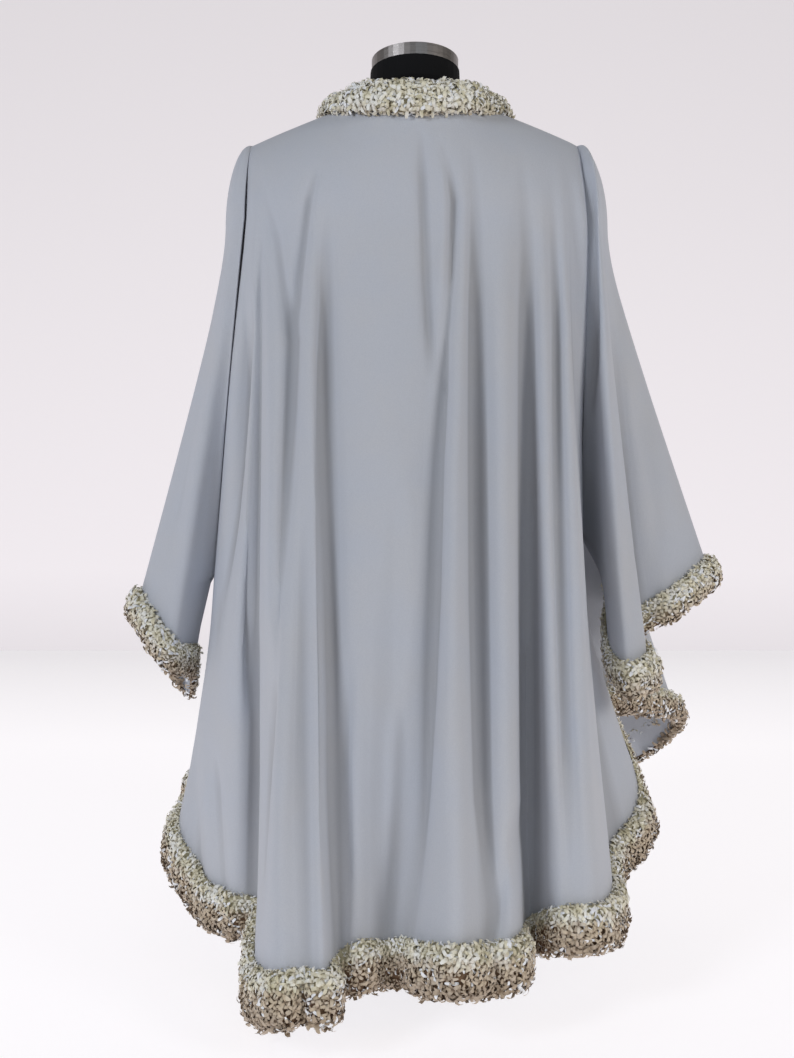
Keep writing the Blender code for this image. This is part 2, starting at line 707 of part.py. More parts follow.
def turned(name, profile, closed, material):
    """Turns a profile of radius and height round the Z axis."""
    mesh = bpy.data.meshes.new(name)
    edges = [(i, i + 1) for i in range(len(profile) - 1)]
    if closed:
        edges.append((len(profile) - 1, 0))
    mesh.from_pydata([(radius, 0.0, z) for radius, z in profile], edges, [])
    item = add_object(name, mesh, material, smooth=False)
    screw = item.modifiers.new("turn", "SCREW")
    screw.axis = "Z"
    screw.angle = 2 * math.pi
    screw.steps = TURN_SIDES
    screw.render_steps = TURN_SIDES
    screw.use_merge_vertices = True
    screw.merge_threshold = MERGE_REACH
    screw.use_smooth_shade = False
    return item


def build_form():
    black = paint(BLACK_JERSEY)
    steel = paint(STEEL)
    stand = paint(STAND_STEEL)
    add_object("form_body", form_mesh(), black)
    low = NECK_TOP + TOUCH_GAP
    inner = RING_RADIUS - RING_WALL
    ring = (
        (RING_RADIUS, low + RING_HEIGHT),
        (RING_RADIUS, low),
        (inner, low),
        (inner, low + RING_HEIGHT),
    )
    turned("form_ring", ring, True, steel)
    cap = (
        (0.0, low + CAP_HEIGHT),
        (CAP_RADIUS - 2 * CAP_BEVEL, low + CAP_HEIGHT),
        (CAP_RADIUS, low + CAP_HEIGHT - CAP_BEVEL),
        (CAP_RADIUS, low),
        (0.0, low),
    )
    turned("form_cap", cap, False, black)
    base = (
        (0.0, BASE_HEIGHT),
        (BASE_RADIUS - BASE_EDGE, BASE_HEIGHT),
        (BASE_RADIUS, BASE_HEIGHT - BASE_EDGE),
        (BASE_RADIUS, 0.0),
        (0.0, 0.0),
    )
    turned("stand_base", base, False, stand)
    foot = BASE_HEIGHT + TOUCH_GAP
    head = FORM_RINGS[0].z - TOUCH_GAP
    bpy.ops.mesh.primitive_cylinder_add(
        vertices=POLE_SIDES,
        radius=POLE_RADIUS,
        depth=head - foot,
        location=(0.0, 0.0, (head + foot) / 2),
    )
    pole = bpy.context.object
    pole.name = "stand_pole"
    pole.data.materials.append(stand)
    for collection in list(pole.users_collection):
        collection.objects.unlink(pole)
    bpy.data.collections[NAME].objects.link(pole)


def build_cloak():
    left = SEAMS["left"]
    right = SEAMS["right"]
    back = Panel(body_grid(BACK_FOLDS, BACK, left, right))
    front_right = Panel(body_grid(FRONT_RIGHT_FOLDS, FRONT, seam_first=right))
    front_left = Panel(body_grid(FRONT_LEFT_FOLDS, FRONT, seam_last=left))
    sleeve_right = Panel(sleeve_grid(SLEEVE_RIGHT_FOLDS, right, (BACK, FRONT)))
    sleeve_left = Panel(sleeve_grid(SLEEVE_LEFT_FOLDS, left, (FRONT, BACK)))
    for panel in (back, front_left, front_right):
        face_shoulder_up(panel)
    sew(back, front_right, sleeve_right, right, -1, 0, 0, -1)
    sew(back, front_left, sleeve_left, left, 0, -1, -1, 0)

    half = SEAM_GAP / 2
    for panel in (back, sleeve_left, sleeve_right):
        panel.draw_in(1, 0, half)
        panel.draw_in(1, -1, half)
    front_right.draw_in(1, 0, half)
    front_left.draw_in(1, -1, half)
    for panel in (back, front_left, front_right):
        panel.draw_in(0, 0, half)
    for panel in (sleeve_left, sleeve_right):
        panel.draw_in(0, 0, SLEEVE_TOP_GAP)

    wool = paint(IVORY_WOOL)
    panels = {
        "cloak_back": back,
        "cloak_front_left": front_left,
        "cloak_front_right": front_right,
        "sleeve_left": sleeve_left,
        "sleeve_right": sleeve_right,
    }
    for name, panel in panels.items():
        add_object(name, cloth_mesh(name, panel), wool)

    fluff = paint(CREAM_FLUFF)
    edge_row = SHOULDER_STEPS.index(EDGE_TRIM_START)
    hem = np.concatenate([panel.skin(CLOTH_WALL / 2)[-1] for panel in (front_left, back, front_right)])
    cuff_left = sleeve_left.skin(CLOTH_WALL / 2)[-1]
    cuff_right = sleeve_right.skin(CLOTH_WALL / 2)[-1]
    trims = {
        "trim_hem_back": (hem_rings(back, hem), -1),
        "trim_hem_right": (hem_rings(front_right, hem, LAST), -1),
        "trim_hem_left": (hem_rings(front_left, hem, FIRST), -1),
        "trim_front_right": (front_rings(front_right, LAST, edge_row, hem), -1),
        "trim_front_left": (front_rings(front_left, FIRST, edge_row, hem), 1),
        "trim_cuff_right": (hem_rings(sleeve_right, cuff_right, body=-1), -1),
        "trim_cuff_left": (hem_rings(sleeve_left, cuff_left, body=1), -1),
        "trim_neck": (neck_rings(), 1),
    }
    for name, (rings, lean) in trims.items():
        add_object(name, ring_mesh(name, rings, lean), fluff)


def main():
    clear_scene()
    collection = bpy.data.collections.new(NAME)
    bpy.context.scene.collection.children.link(collection)
    build_form()
    build_cloak()


main()
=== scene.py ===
# %% [markdown]
# A burnous cloak of ivory felted wool, seen from behind on a black limbless dress form.
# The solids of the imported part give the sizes. Every panel of cloth is drawn again here as a
# fine shell on the same surface, with its creases, and every trim becomes a band of tufts.

# %% Frame
from collections import namedtuple
import math

import bpy
import numpy as np
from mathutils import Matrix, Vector


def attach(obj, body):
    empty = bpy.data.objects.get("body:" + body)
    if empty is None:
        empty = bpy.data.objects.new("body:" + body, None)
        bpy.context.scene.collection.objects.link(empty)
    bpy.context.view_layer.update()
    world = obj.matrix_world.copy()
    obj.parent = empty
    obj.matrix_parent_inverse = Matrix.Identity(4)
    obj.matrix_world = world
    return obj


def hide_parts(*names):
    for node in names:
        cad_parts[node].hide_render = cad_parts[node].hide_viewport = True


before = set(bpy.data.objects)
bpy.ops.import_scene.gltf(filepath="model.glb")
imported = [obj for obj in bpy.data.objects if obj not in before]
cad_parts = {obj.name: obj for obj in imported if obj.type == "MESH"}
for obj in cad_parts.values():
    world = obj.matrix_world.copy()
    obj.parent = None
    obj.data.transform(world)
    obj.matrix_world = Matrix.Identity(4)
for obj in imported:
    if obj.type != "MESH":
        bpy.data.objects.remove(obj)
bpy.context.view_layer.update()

BODY = "root"
BACK = -1
FRONT = 1
FIRST = 0
LAST = -1
SEED = 7

# %% [markdown]
# The camera stands where the photograph was taken from: level, a little over half way up the
# cloak and 1.38 m behind it. The same numbers turn a place in the photograph, in its own
# pixels, into a place on the cloth, so creases can be laid where they are seen.

# %% Camera
CAMERA = (-0.0239, -1.38, 0.535)
FOCAL_PX = 1038.0
CENTRE_PX = (397.0, 529.0)
LONG_SIDE_PX = 1058.0
SENSOR_MM = 36.0


def photo_place(points, side=BACK):
    """Where points show in the photograph, or in its like taken from the front."""
    away = -CAMERA[1] - side * points[..., 1]
    x = points[..., 0] if side == BACK else -points[..., 0]
    px = CENTRE_PX[0] + (x - CAMERA[0]) * FOCAL_PX / away
    py = CENTRE_PX[1] - (points[..., 2] - CAMERA[2]) * FOCAL_PX / away
    return px, py


camera = bpy.data.objects.new("camera", bpy.data.cameras.new("camera"))
bpy.context.scene.collection.objects.link(camera)
camera.location = CAMERA
camera.rotation_euler = (math.pi / 2, 0.0, 0.0)
camera.data.sensor_width = SENSOR_MM
camera.data.lens = SENSOR_MM * FOCAL_PX / LONG_SIDE_PX
bpy.context.scene.camera = camera
print("lens", round(camera.data.lens, 2))

# %% [markdown]
# The cut and the drape of the cloak. Each row of a fold table is one crest or hollow: where
# it leaves the yoke, where it meets the hem, how far down it starts to swing out, and how far
# it stands out half way down. The rows are those the solids were made from, so the shells
# fit them; a spline joins the rows, and each fold grows slowly out of the yoke.

# %% Fold tables
NEAR_ZERO = 0.0005
CLOTH_WALL = 0.0014
KNOT_POWER = 0.6
NECK_HALF_WIDTH = 0.08
NECK_HALF_DEPTH = 0.08
NECK_DROP = {BACK: 0.011, FRONT: 0.052}
SHOULDER_X = 0.156
SHOULDER_Z = 1.062
SHOULDER_SLOPE = 0.37
YOKE_Z = 0.93
YOKE_DEPTH = 0.135
YOKE_HALF_WIDTH = 0.245
TIP_DRAW = 0.03
TIP_REACH = 0.22
GROWTH = 0.15
ARMHOLE_BOW = 0.7
CUFF_SHARE = 0.8
UNDERARM_ROOM = 0.005
SHARPEST = 0.4

# Fine rows: quarter turns over the shoulder, then shares of the fall, then of the cuff
PER_FOLD = 8
TURNS = np.arange(25) / 25
FALL = np.linspace(0.0, 1.0, 101)
CUFF_FALL = np.linspace(0.025, 1.0, 40)
SLEEVE_TOP_TURN = 0.28
EDGE_TRIM_TURN = 0.44
HEM_TRIM_STEP = 0.95
CUFF_TRIM_STEP = 0.7


def table(kind, *rows):
    return [kind(*row) for row in rows]


Fold = namedtuple("Fold", "x_yoke x_hem y_hem z_hem swing bulge", defaults=(0.0, 0.0))

BACK_FOLDS = table(
    Fold,
    (-0.218, -0.3, 0.04, 0.148),
    (-0.211, -0.315, -0.03, 0.116, 0.35, 0.01),
    (-0.204, -0.257, -0.12, 0.066, 0.2, 0.02),
    (-0.199, -0.217, -0.16, 0.062, 0.05, 0.02),
    (-0.1935, -0.191, -0.172, 0.06),
    (-0.188, -0.174, -0.275, 0.025),
    (-0.176, -0.14, -0.34, 0.041, 0.0, 0.004),
    (-0.148, -0.114, -0.338, 0.045, 0.0, -0.005),
    (-0.129, -0.097, -0.345, 0.045, 0.0, 0.004),
    (-0.109, -0.085, -0.301, 0.046, 0.0, -0.008),
    (-0.088, -0.066, -0.3, 0.058),
    (-0.045, -0.038, -0.268, 0.049, 0.0, 0.016),
    (-0.012, -0.014, -0.272, 0.053, 0.0, 0.012),
    (0.018, 0.002, -0.3, 0.058),
    (0.046, 0.036, -0.33, 0.067, 0.0, 0.006),
    (0.074, 0.072, -0.306, 0.059, 0.0, -0.012),
    (0.097, 0.097, -0.3, 0.062, 0.0, 0.004),
    (0.134, 0.126, -0.208, 0.052, 0.0, -0.006),
    (0.156, 0.155, -0.248, 0.078, 0.0, 0.004),
    (0.171, 0.171, -0.254, 0.081, 0.0, -0.004),
    (0.184, 0.193, -0.25, 0.081, 0.0, 0.006),
    (0.196, 0.226, -0.19, 0.078, 0.3, 0.01),
    (0.203, 0.241, -0.11, 0.105, 0.55, 0.008),
    (0.209, 0.296, -0.06, 0.153, 0.66, 0.004),
    (0.215, 0.262, 0.02, 0.292, 0.6, 0.0),
)
FRONT_RIGHT_FOLDS = table(
    Fold,
    (0.215, 0.262, 0.02, 0.292, 0.6, 0.0),
    (0.2105, 0.29, 0.06, 0.285, 0.78, 0.0),
    (0.205, 0.385, 0.13, 0.257, 0.1, 0.022),
    (0.191, 0.345, 0.172, 0.2, 0.0, 0.028),
    (0.175, 0.28, 0.168, 0.18, 0.1, 0.0),
    (0.16, 0.25, 0.225, 0.168, 0.0, 0.008),
    (0.13, 0.205, 0.262, 0.168),
    (0.105, 0.165, 0.212, 0.178, 0.0, -0.006),
    (0.075, 0.125, 0.28, 0.168, 0.0, 0.006),
    (0.04, 0.072, 0.272, 0.173),
)
FRONT_LEFT_FOLDS = table(
    Fold,
    (-0.036, -0.066, 0.27, 0.173),
    (-0.07, -0.112, 0.284, 0.166, 0.0, 0.006),
    (-0.098, -0.15, 0.22, 0.178, 0.0, -0.006),
    (-0.125, -0.19, 0.268, 0.168),
    (-0.155, -0.24, 0.24, 0.163, 0.0, 0.006),
    (-0.182, -0.258, 0.16, 0.168, 0.2, 0.0),
    (-0.208, -0.315, 0.11, 0.153, 0.3, 0.01),
    (-0.218, -0.3, 0.04, 0.148),
)

SleeveFold = namedtuple("SleeveFold", "x_yoke y_yoke x_cuff y_cuff z_cuff")

SLEEVE_RIGHT_FOLDS = table(
    SleeveFold,
    (0.215, -0.058, 0.266, -0.005, 0.44),
    (0.225, -0.071, 0.243, -0.088, 0.355),
    (0.23, -0.074, 0.256, -0.125, 0.338),
    (0.235, -0.062, 0.287, -0.1, 0.346),
    (0.239, -0.05, 0.281, -0.045, 0.393),
    (0.246, -0.034, 0.335, -0.038, 0.428),
    (0.254, 0.0, 0.399, 0.02, 0.469),
    (0.246, 0.036, 0.352, 0.066, 0.443),
    (0.238, 0.052, 0.318, 0.072, 0.432),
    (0.23, 0.06, 0.288, 0.062, 0.43),
    (0.215, 0.058, 0.266, -0.005, 0.44),
)
SLEEVE_LEFT_FOLDS = table(
    SleeveFold,
    (-0.218, 0.062, -0.3, 0.002, 0.345),
    (-0.234, 0.056, -0.315, 0.062, 0.308),
    (-0.24, 0.04, -0.34, 0.055, 0.348),
    (-0.25, 0.0, -0.372, 0.005, 0.424),
    (-0.244, -0.034, -0.34, -0.04, 0.391),
    (-0.235, -0.052, -0.312, -0.052, 0.358),
    (-0.218, -0.062, -0.3, 0.002, 0.345),
)

Seam = namedtuple(
    "Seam", "tip_x yoke_x yoke_y under_x under_z under_step hem_x hem_y hem_z cuff_x cuff_y cuff_z"
)
LEFT_SEAM = Seam(
    -0.213, -0.218, 0.062, -0.266, 0.468, 0.65, -0.3, 0.04, 0.148, -0.3, 0.002, 0.345
)
RIGHT_SEAM = Seam(
    0.213, 0.215, 0.058, 0.219, 0.52, 0.55, 0.262, 0.02, 0.292, 0.266, -0.005, 0.44
)
print("folds", [len(folds) for folds in (BACK_FOLDS, FRONT_RIGHT_FOLDS, FRONT_LEFT_FOLDS)])

# %% [markdown]
# How the cloth hangs. It rounds the shoulder from its top edge to the yoke, and falls from
# the yoke to the hem along the folds. At the armholes and sides it is drawn to the seams.

# %% Surface of the body


def lerp(start, end, share):
    return start + (end - start) * share


def growth(share):
    """How much of a fold has grown at a share of its fall: slow at first, then even."""
    return share ** 2 * (1 + GROWTH) / (share + GROWTH)


def unit(vectors):
    return vectors / np.linalg.norm(vectors, axis=-1, keepdims=True)


def nearest(values, wanted):
    return int(np.argmin(np.abs(values - wanted)))


def stacked(*parts):
    return np.stack(np.broadcast_arrays(*parts), axis=-1)


def running_sum(steps):
    return np.concatenate(([0.0], np.cumsum(steps)))


def between(at, knots, points):
    return np.array([np.interp(at, knots, points[:, i]) for i in range(3)])


def spread(folds, ends):
    """Smooth curves through the rows of a fold table, sampled evenly between the rows."""
    rows = np.array(folds, dtype=float)
    steps = np.linalg.norm(np.diff(rows[:, ends], axis=0), axis=1) ** KNOT_POWER
    knots = running_sum(steps)
    slopes = np.gradient(rows, knots, axis=0)
    columns = []
    for i in range(len(rows) - 1):
        width = knots[i + 1] - knots[i]
        for j in range(PER_FOLD):
            s = j / PER_FOLD
            columns.append(
                (2 * s ** 3 - 3 * s ** 2 + 1) * rows[i]
                + (s ** 3 - 2 * s ** 2 + s) * width * slopes[i]
                + (3 * s ** 2 - 2 * s ** 3) * rows[i + 1]
                + (s ** 3 - s ** 2) * width * slopes[i + 1]
            )
    columns.append(rows[-1])
    return np.array(columns).T


def shoulder_line(x):
    return SHOULDER_Z - SHOULDER_SLOPE * (np.abs(x) - SHOULDER_X)


def top_edge(x, side):
    """Depth and height of the neckline above x, or of the shoulder seam beyond it."""
    roundness = np.sqrt(np.clip(1 - (x / NECK_HALF_WIDTH) ** 2, 0.0, 1.0))
    y = side * NECK_HALF_DEPTH * roundness
    z = shoulder_line(np.maximum(np.abs(x), NECK_HALF_WIDTH)) - NECK_DROP[side] * roundness ** 2
    return y, z


def yoke_edge(x, side):
    return side * YOKE_DEPTH * np.sqrt(1 - (x / YOKE_HALF_WIDTH) ** 2)


def over_shoulder(start, yoke, turns):
    """Rounds the cloth from its top edge to the yoke, as a quarter of an ellipse."""
    angle = turns * math.pi / 2
    x = lerp(start[0], yoke[0], turns)
    y = lerp(start[1], yoke[1], np.sin(angle))
    return stacked(x, y, lerp(yoke[2], start[2], np.cos(angle)))


def armhole_and_side(seam, side):
    """The seam at a panel's side: over the shoulder tip, round the armhole, to the hem."""
    tip = (seam.tip_x, 0.0, shoulder_line(seam.tip_x))
    yoke = (seam.yoke_x, side * seam.yoke_y, YOKE_Z)
    shoulder = over_shoulder(tip, yoke, TURNS)
    above = np.clip(FALL / seam.under_step, 0.0, 1.0)
    below = np.clip((FALL - seam.under_step) / (1 - seam.under_step), 0.0, 1.0)
    bow = np.clip(np.cos(above * math.pi / 2), 0.0, 1.0) ** ARMHOLE_BOW
    x = lerp(seam.yoke_x, seam.under_x, above) + (seam.hem_x - seam.under_x) * below ** 2
    y = side * seam.yoke_y * bow + seam.hem_y * below
    z = lerp(YOKE_Z, seam.under_z, above) + (seam.hem_z - seam.under_z) * below
    return np.concatenate((shoulder, stacked(x, y, z)))


def draw_to_seam(grid, line, first):
    """Moves a grid's outer columns onto a seam line, less and less up to the first fold."""
    edge = 0 if first else -1
    shift = line - grid[:, edge]
    for j in range(PER_FOLD):
        column = j if first else -1 - j
        grid[:, column] += shift * (1 - j / PER_FOLD) ** 2


def body_grid(folds, side, seam_first=None, seam_last=None):
    """Points of a back or front panel, a row for each step down and a column across."""
    x_yoke, x_hem, y_hem, z_hem, swing, bulge = spread(folds, [1, 2, 3])
    x_top = x_yoke * (1 - TIP_DRAW * (x_yoke / TIP_REACH) ** 4)
    y_top, z_top = top_edge(x_top, side)
    y_yoke = yoke_edge(x_yoke, side)
    shoulder = over_shoulder((x_top, y_top, z_top), (x_yoke, y_yoke, YOKE_Z), TURNS[:, None])
    steps = FALL[:, None]
    grown = growth(np.clip((steps - swing) / (1 - swing), 0.0, 1.0))
    x = lerp(x_yoke, x_hem, grown)
    y = lerp(y_yoke, y_hem, grown) + side * bulge * np.sin(math.pi * steps)
    z = lerp(YOKE_Z, z_hem, steps)
    grid = np.concatenate((shoulder, stacked(x, y, z)))
    for seam, first in ((seam_first, True), (seam_last, False)):
        if seam:
            draw_to_seam(grid, armhole_and_side(seam, side), first)
    return grid


print("yoke, m", round(float(yoke_edge(0.0, FRONT)), 3), "deep at", YOKE_Z)

# %% [markdown]
# A sleeve starts along the armhole, above the underarm, and hangs from the shoulder tip. Its
# lower part closes along a seam of its own, from the underarm to the cuff.

# %% Surface of the sleeves


def under_row(seam):
    return len(TURNS) + nearest(FALL, seam.under_step)


def along(points, share):
    """Place at a share of the way along a short line of points."""
    return between(share * (len(points) - 1), range(len(points)), points)


def sleeve_grid(folds, seam, sides):
    """Points of a sleeve, from one edge of the armhole round its outer fold to the other."""
    x_yoke, y_yoke, x_cuff, y_cuff, z_cuff = spread(folds, [2, 3, 4])
    last = under_row(seam)
    first = nearest(TURNS, SLEEVE_TOP_TURN)
    lines = [armhole_and_side(seam, side)[:last + 1] for side in sides]
    under = lines[0][-1]
    cuff = np.array((seam.cuff_x, seam.cuff_y, seam.cuff_z))
    over_tip = np.concatenate((lines[0][first::-1], lines[1][1:first + 1]))
    top = np.array([along(over_tip, share) for share in np.linspace(0.0, 1.0, len(x_yoke))])
    turns = (TURNS[first:] - TURNS[first]) / (1 - TURNS[first])
    angle = turns[:, None] * math.pi / 2
    shoulder = stacked(
        lerp(top[:, 0], x_yoke, np.sin(angle)), lerp(top[:, 1], y_yoke, np.sin(angle)),
        lerp(YOKE_Z, top[:, 2], np.cos(angle)),
    )
    upper = FALL[:last - len(TURNS) + 1] / seam.under_step
    shares = np.concatenate((upper * CUFF_SHARE, lerp(CUFF_SHARE, 1.0, CUFF_FALL)))[:, None]
    grown = growth(shares)
    fall = stacked(
        lerp(x_yoke, x_cuff, grown), lerp(y_yoke, y_cuff, grown), lerp(YOKE_Z, z_cuff, shares)
    )
    grid = np.concatenate((shoulder, fall))
    outside = under + np.array((math.copysign(UNDERARM_ROOM, seam.tip_x), 0.0, 0.0))
    inner_seam = outside + (cuff - outside) * np.concatenate(([0.0], CUFF_FALL))[:, None]
    for line, is_first in zip(lines, (True, False)):
        draw_to_seam(grid, np.concatenate((line[first:-1], inner_seam)), is_first)
    return grid


print("sleeve starts at row", nearest(TURNS, SLEEVE_TOP_TURN))

# %% [markdown]
# The five panels: a back, two fronts and two sleeves, each a grid of points with the
# direction in which the cloth faces.

# %% Panels


class Panel:
    """A grid of points on a cloth's middle surface, with the direction its face points."""

    def __init__(self, points):
        self.points = points
        down = np.gradient(points, axis=0)
        across = np.gradient(points, axis=1)
        self.own = unit(np.cross(down, across))
        self.facing = self.own.copy()

    def skin(self, height):
        mitre = 1 / np.clip(np.sum(self.own * self.facing, axis=-1, keepdims=True), SHARPEST, 1.0)
        return self.points + self.facing * mitre * height


back = Panel(body_grid(BACK_FOLDS, BACK, LEFT_SEAM, RIGHT_SEAM))
front_right = Panel(body_grid(FRONT_RIGHT_FOLDS, FRONT, seam_first=RIGHT_SEAM))
front_left = Panel(body_grid(FRONT_LEFT_FOLDS, FRONT, seam_last=LEFT_SEAM))
sleeve_right = Panel(sleeve_grid(SLEEVE_RIGHT_FOLDS, RIGHT_SEAM, (BACK, FRONT)))
sleeve_left = Panel(sleeve_grid(SLEEVE_LEFT_FOLDS, LEFT_SEAM, (FRONT, BACK)))
PANELS = {
    "cloak_back": back,
    "cloak_front_left": front_left,
    "cloak_front_right": front_right,
    "sleeve_left": sleeve_left,
    "sleeve_right": sleeve_right,
}
print("rows and columns", {name: panel.points.shape[:2] for name, panel in PANELS.items()})

# %% [markdown]
# The folds above are the large ones. The smaller creases are laid one by one, each with its own
# depth, width and path, as soft troughs and ridges that fade out at both ends. Those on the
# back and the sleeves follow the photograph; the fronts have the same kind in other places.

# %% Creases
Crease = namedtuple("Crease", "depth width path")
BACK_CREASES = table(
    Crease,
    (-0.0093, 6.0, ((250, 150), (242, 200), (235, 260), (224, 357), (212, 500), (205, 600))),
    (-0.0085, 7.2, ((256, 165), (276, 240), (281, 280), (292, 340), (290, 400), (284, 500),
                    (277, 600), (269, 700), (258, 800), (254, 930))),
    (-0.0059, 5.4, ((318, 165), (308, 200), (298, 280), (293, 340))),
    (-0.0093, 6.0, ((252, 280), (248, 400), (247, 500), (246, 600), (250, 720))),
    (-0.0076, 8.4, ((322, 200), (325, 300), (323, 400), (320, 500), (322, 700), (332, 940))),
    (-0.0059, 5.4, ((420, 124), (423, 200), (426, 280), (432, 380))),
    (-0.0068, 5.4, ((440, 135), (454, 200), (452, 280), (446, 340), (440, 460))),
    (-0.0085, 6.0, ((444, 330), (440, 400), (437, 500), (434, 600), (429, 700), (423, 800),
                    (413, 940))),
    (-0.0076, 7.2, ((468, 132), (474, 200), (476, 400), (477, 600), (482, 800), (500, 950))),
    (-0.0067, 7.9, ((520, 140), (527, 240), (527, 600), (527, 800), (524, 940))),
    (-0.0049, 5.9, ((550, 160), (553, 220), (557, 320), (556, 500), (565, 750), (569, 920))),
    (-0.0049, 6.6, ((566, 150), (575, 240), (580, 400), (590, 520), (592, 640), (603, 880))),
    (0.0045, 7.0, ((256, 180), (253, 280), (237, 400), (230, 520), (225, 720))),
    (0.0045, 8.0, ((322, 150), (314, 260), (305, 400), (294, 600), (284, 800), (274, 920))),
    (0.0045, 6.0, ((444, 150), (444, 240), (441, 300))),
    (0.0045, 7.0, ((458, 135), (464, 200), (461, 320), (454, 500), (449, 700), (440, 860))),
    (0.005, 12.0, ((500, 150), (502, 260), (501, 600), (501, 800), (510, 930))),
    (0.0045, 6.0, ((541, 180), (544, 400), (549, 600), (552, 800), (551, 920))),
    (0.004, 5.0, ((562, 170), (565, 320), (570, 500), (576, 700), (588, 900))),
    (0.0045, 5.0, ((578, 170), (585, 260), (588, 400))),
    (0.005, 14.0, ((396, 420), (410, 520), (404, 700), (385, 900))),
    (-0.0055, 9.2, ((520, 800), (508, 870), (490, 950))),
    (-0.0051, 7.2, ((402, 690), (398, 800), (390, 940))),
    (-0.0064, 8.4, ((262, 620), (262, 700), (260, 800), (252, 950))),
    (-0.0068, 7.2, ((188, 690), (192, 790), (199, 930))),
    (-0.0051, 6.0, ((212, 740), (218, 830), (226, 950))),
    (-0.0043, 7.2, ((350, 640), (346, 760), (350, 930))),
)
SLEEVE_CREASES = table(
    Crease,
    (-0.007, 5.0, ((589, 165), (592, 240), (595, 320), (593, 420))),
    (-0.0035, 6.0, ((606, 240), (616, 320), (622, 400), (628, 500), (634, 640))),
    (0.0025, 6.0, ((599, 220), (604, 320), (608, 500), (618, 620))),
    (-0.0045, 8.0, ((634, 380), (650, 470), (664, 570))),
    (-0.004, 7.0, ((222, 300), (192, 430), (166, 570))),
    (0.002, 8.0, ((222, 320), (200, 440), (184, 590))),
)
FRONT_CREASES = table(
    Crease,
    (-0.005, 7.0, ((262, 170), (274, 300), (262, 480), (236, 640), (206, 800))),
    (0.003, 8.0, ((290, 160), (296, 320), (284, 520), (262, 760))),
    (-0.0045, 6.0, ((318, 180), (322, 360), (314, 560), (300, 780))),
    (-0.004, 5.0, ((342, 150), (350, 300), (346, 460), (338, 640))),
    (0.0025, 6.0, ((358, 220), (362, 420), (350, 700))),
    (-0.004, 6.0, ((452, 160), (458, 320), (466, 520), (480, 760))),
    (0.003, 7.0, ((474, 150), (480, 330), (494, 560), (516, 790))),
    (-0.005, 6.0, ((500, 170), (506, 330), (520, 540), (548, 780))),
    (-0.004, 6.0, ((540, 190), (548, 360), (566, 560), (600, 760))),
    (0.0025, 6.0, ((560, 200), (572, 380), (596, 600), (634, 760))),
)
print("creases", len(BACK_CREASES), len(SLEEVE_CREASES), len(FRONT_CREASES))

# %% [markdown]
# The cloth round the shoulders is evened out first, and then the creases are pressed in.
# A crease fades where the cloth turns away from the side that it is laid on.

# %% Pressing
FULLY_TURNED = 0.35
FADE_SHARPNESS = 1.6
EASED_ROWS = 40
EASING_ROUNDS = 60


def fade(share):
    """Rises from 0 at the start of a path to 1, and falls to 0 at its end."""
    return np.clip(np.sin(np.clip(share, 0.0, 1.0) * math.pi) * FADE_SHARPNESS, 0.0, 1.0)


def ease(panel, rows, rounds):
    """Evens out the uppermost rows from column to column, but for the panel's own edges."""
    share = np.linspace(1.0, 0.0, rows - 1)[:, None, None] / 2
    for _ in range(rounds):
        part = panel.points[1:rows]
        middle = (part[:, 2:] + part[:, :-2]) / 2
        part[:, 1:-1] = lerp(part[:, 1:-1], middle, share)


def press(panel, creases, side):
    """Moves a panel's points along their facing into the creases laid on it."""
    px, py = photo_place(panel.points, side)
    turned = np.clip(side * panel.facing[..., 1] / FULLY_TURNED, 0.0, 1.0)
    relief = np.zeros(px.shape)
    for crease in creases:
        path = np.array(crease.path, dtype=float)
        centre = np.interp(py, path[:, 1], path[:, 0])
        share = (py - path[0, 1]) / (path[-1, 1] - path[0, 1])
        inside = (share > 0) & (share < 1)
        bump = np.exp(-((px - centre) / crease.width) ** 2)
        relief += np.where(inside, crease.depth * bump * fade(share), 0.0)
    relief *= turned
    relief[0] = 0.0
    panel.points += panel.facing * relief[..., None]
    return round(1000 * float(np.abs(relief).max()), 2)


for panel in (back, front_left, front_right):
    ease(panel, EASED_ROWS, EASING_ROUNDS)
print("back, mm", press(back, BACK_CREASES, BACK))
for panel in (sleeve_left, sleeve_right):
    print("sleeve, mm", press(panel, SLEEVE_CREASES, BACK))
for panel in (front_left, front_right):
    print("front, mm", press(panel, FRONT_CREASES, FRONT))

# %% [markdown]
# Where panels meet at a seam they share one facing, so both edges end at the same place.

# %% Seams


def meet(*places):
    facing = unit(sum(panel.own[row, column] for panel, row, column in places))
    for panel, row, column in places:
        panel.facing[row, column] = facing


def sew(body, seam, sleeve, body_column, sleeve_column):
    """Shares the facings along one edge of an armhole."""
    first = nearest(TURNS, SLEEVE_TOP_TURN)
    for row in range(first + 1, under_row(seam)):
        meet((body, row, body_column), (sleeve, row - first, sleeve_column))


def face_shoulder_up(panel):
    x = panel.points[0, :, 0]
    lies_on_shoulder = np.abs(x) >= NECK_HALF_WIDTH
    up = stacked(np.sign(x) * SHOULDER_SLOPE, 0.0, 1.0)
    panel.facing[0][lies_on_shoulder] = unit(up)[lies_on_shoulder]
    panel.own[0][lies_on_shoulder] = unit(up)[lies_on_shoulder]


for panel in (back, front_left, front_right):
    face_shoulder_up(panel)
sew(back, RIGHT_SEAM, sleeve_right, LAST, FIRST)
sew(front_right, RIGHT_SEAM, sleeve_right, FIRST, LAST)
sew(back, LEFT_SEAM, sleeve_left, FIRST, LAST)
sew(front_left, LEFT_SEAM, sleeve_left, LAST, FIRST)
for row in range(under_row(RIGHT_SEAM), len(back.points)):
    meet((back, row, LAST), (front_right, row, FIRST))
for row in range(under_row(LEFT_SEAM), len(back.points)):
    meet((back, row, FIRST), (front_left, row, LAST))
print("side seams from row", under_row(RIGHT_SEAM), "and", under_row(LEFT_SEAM))
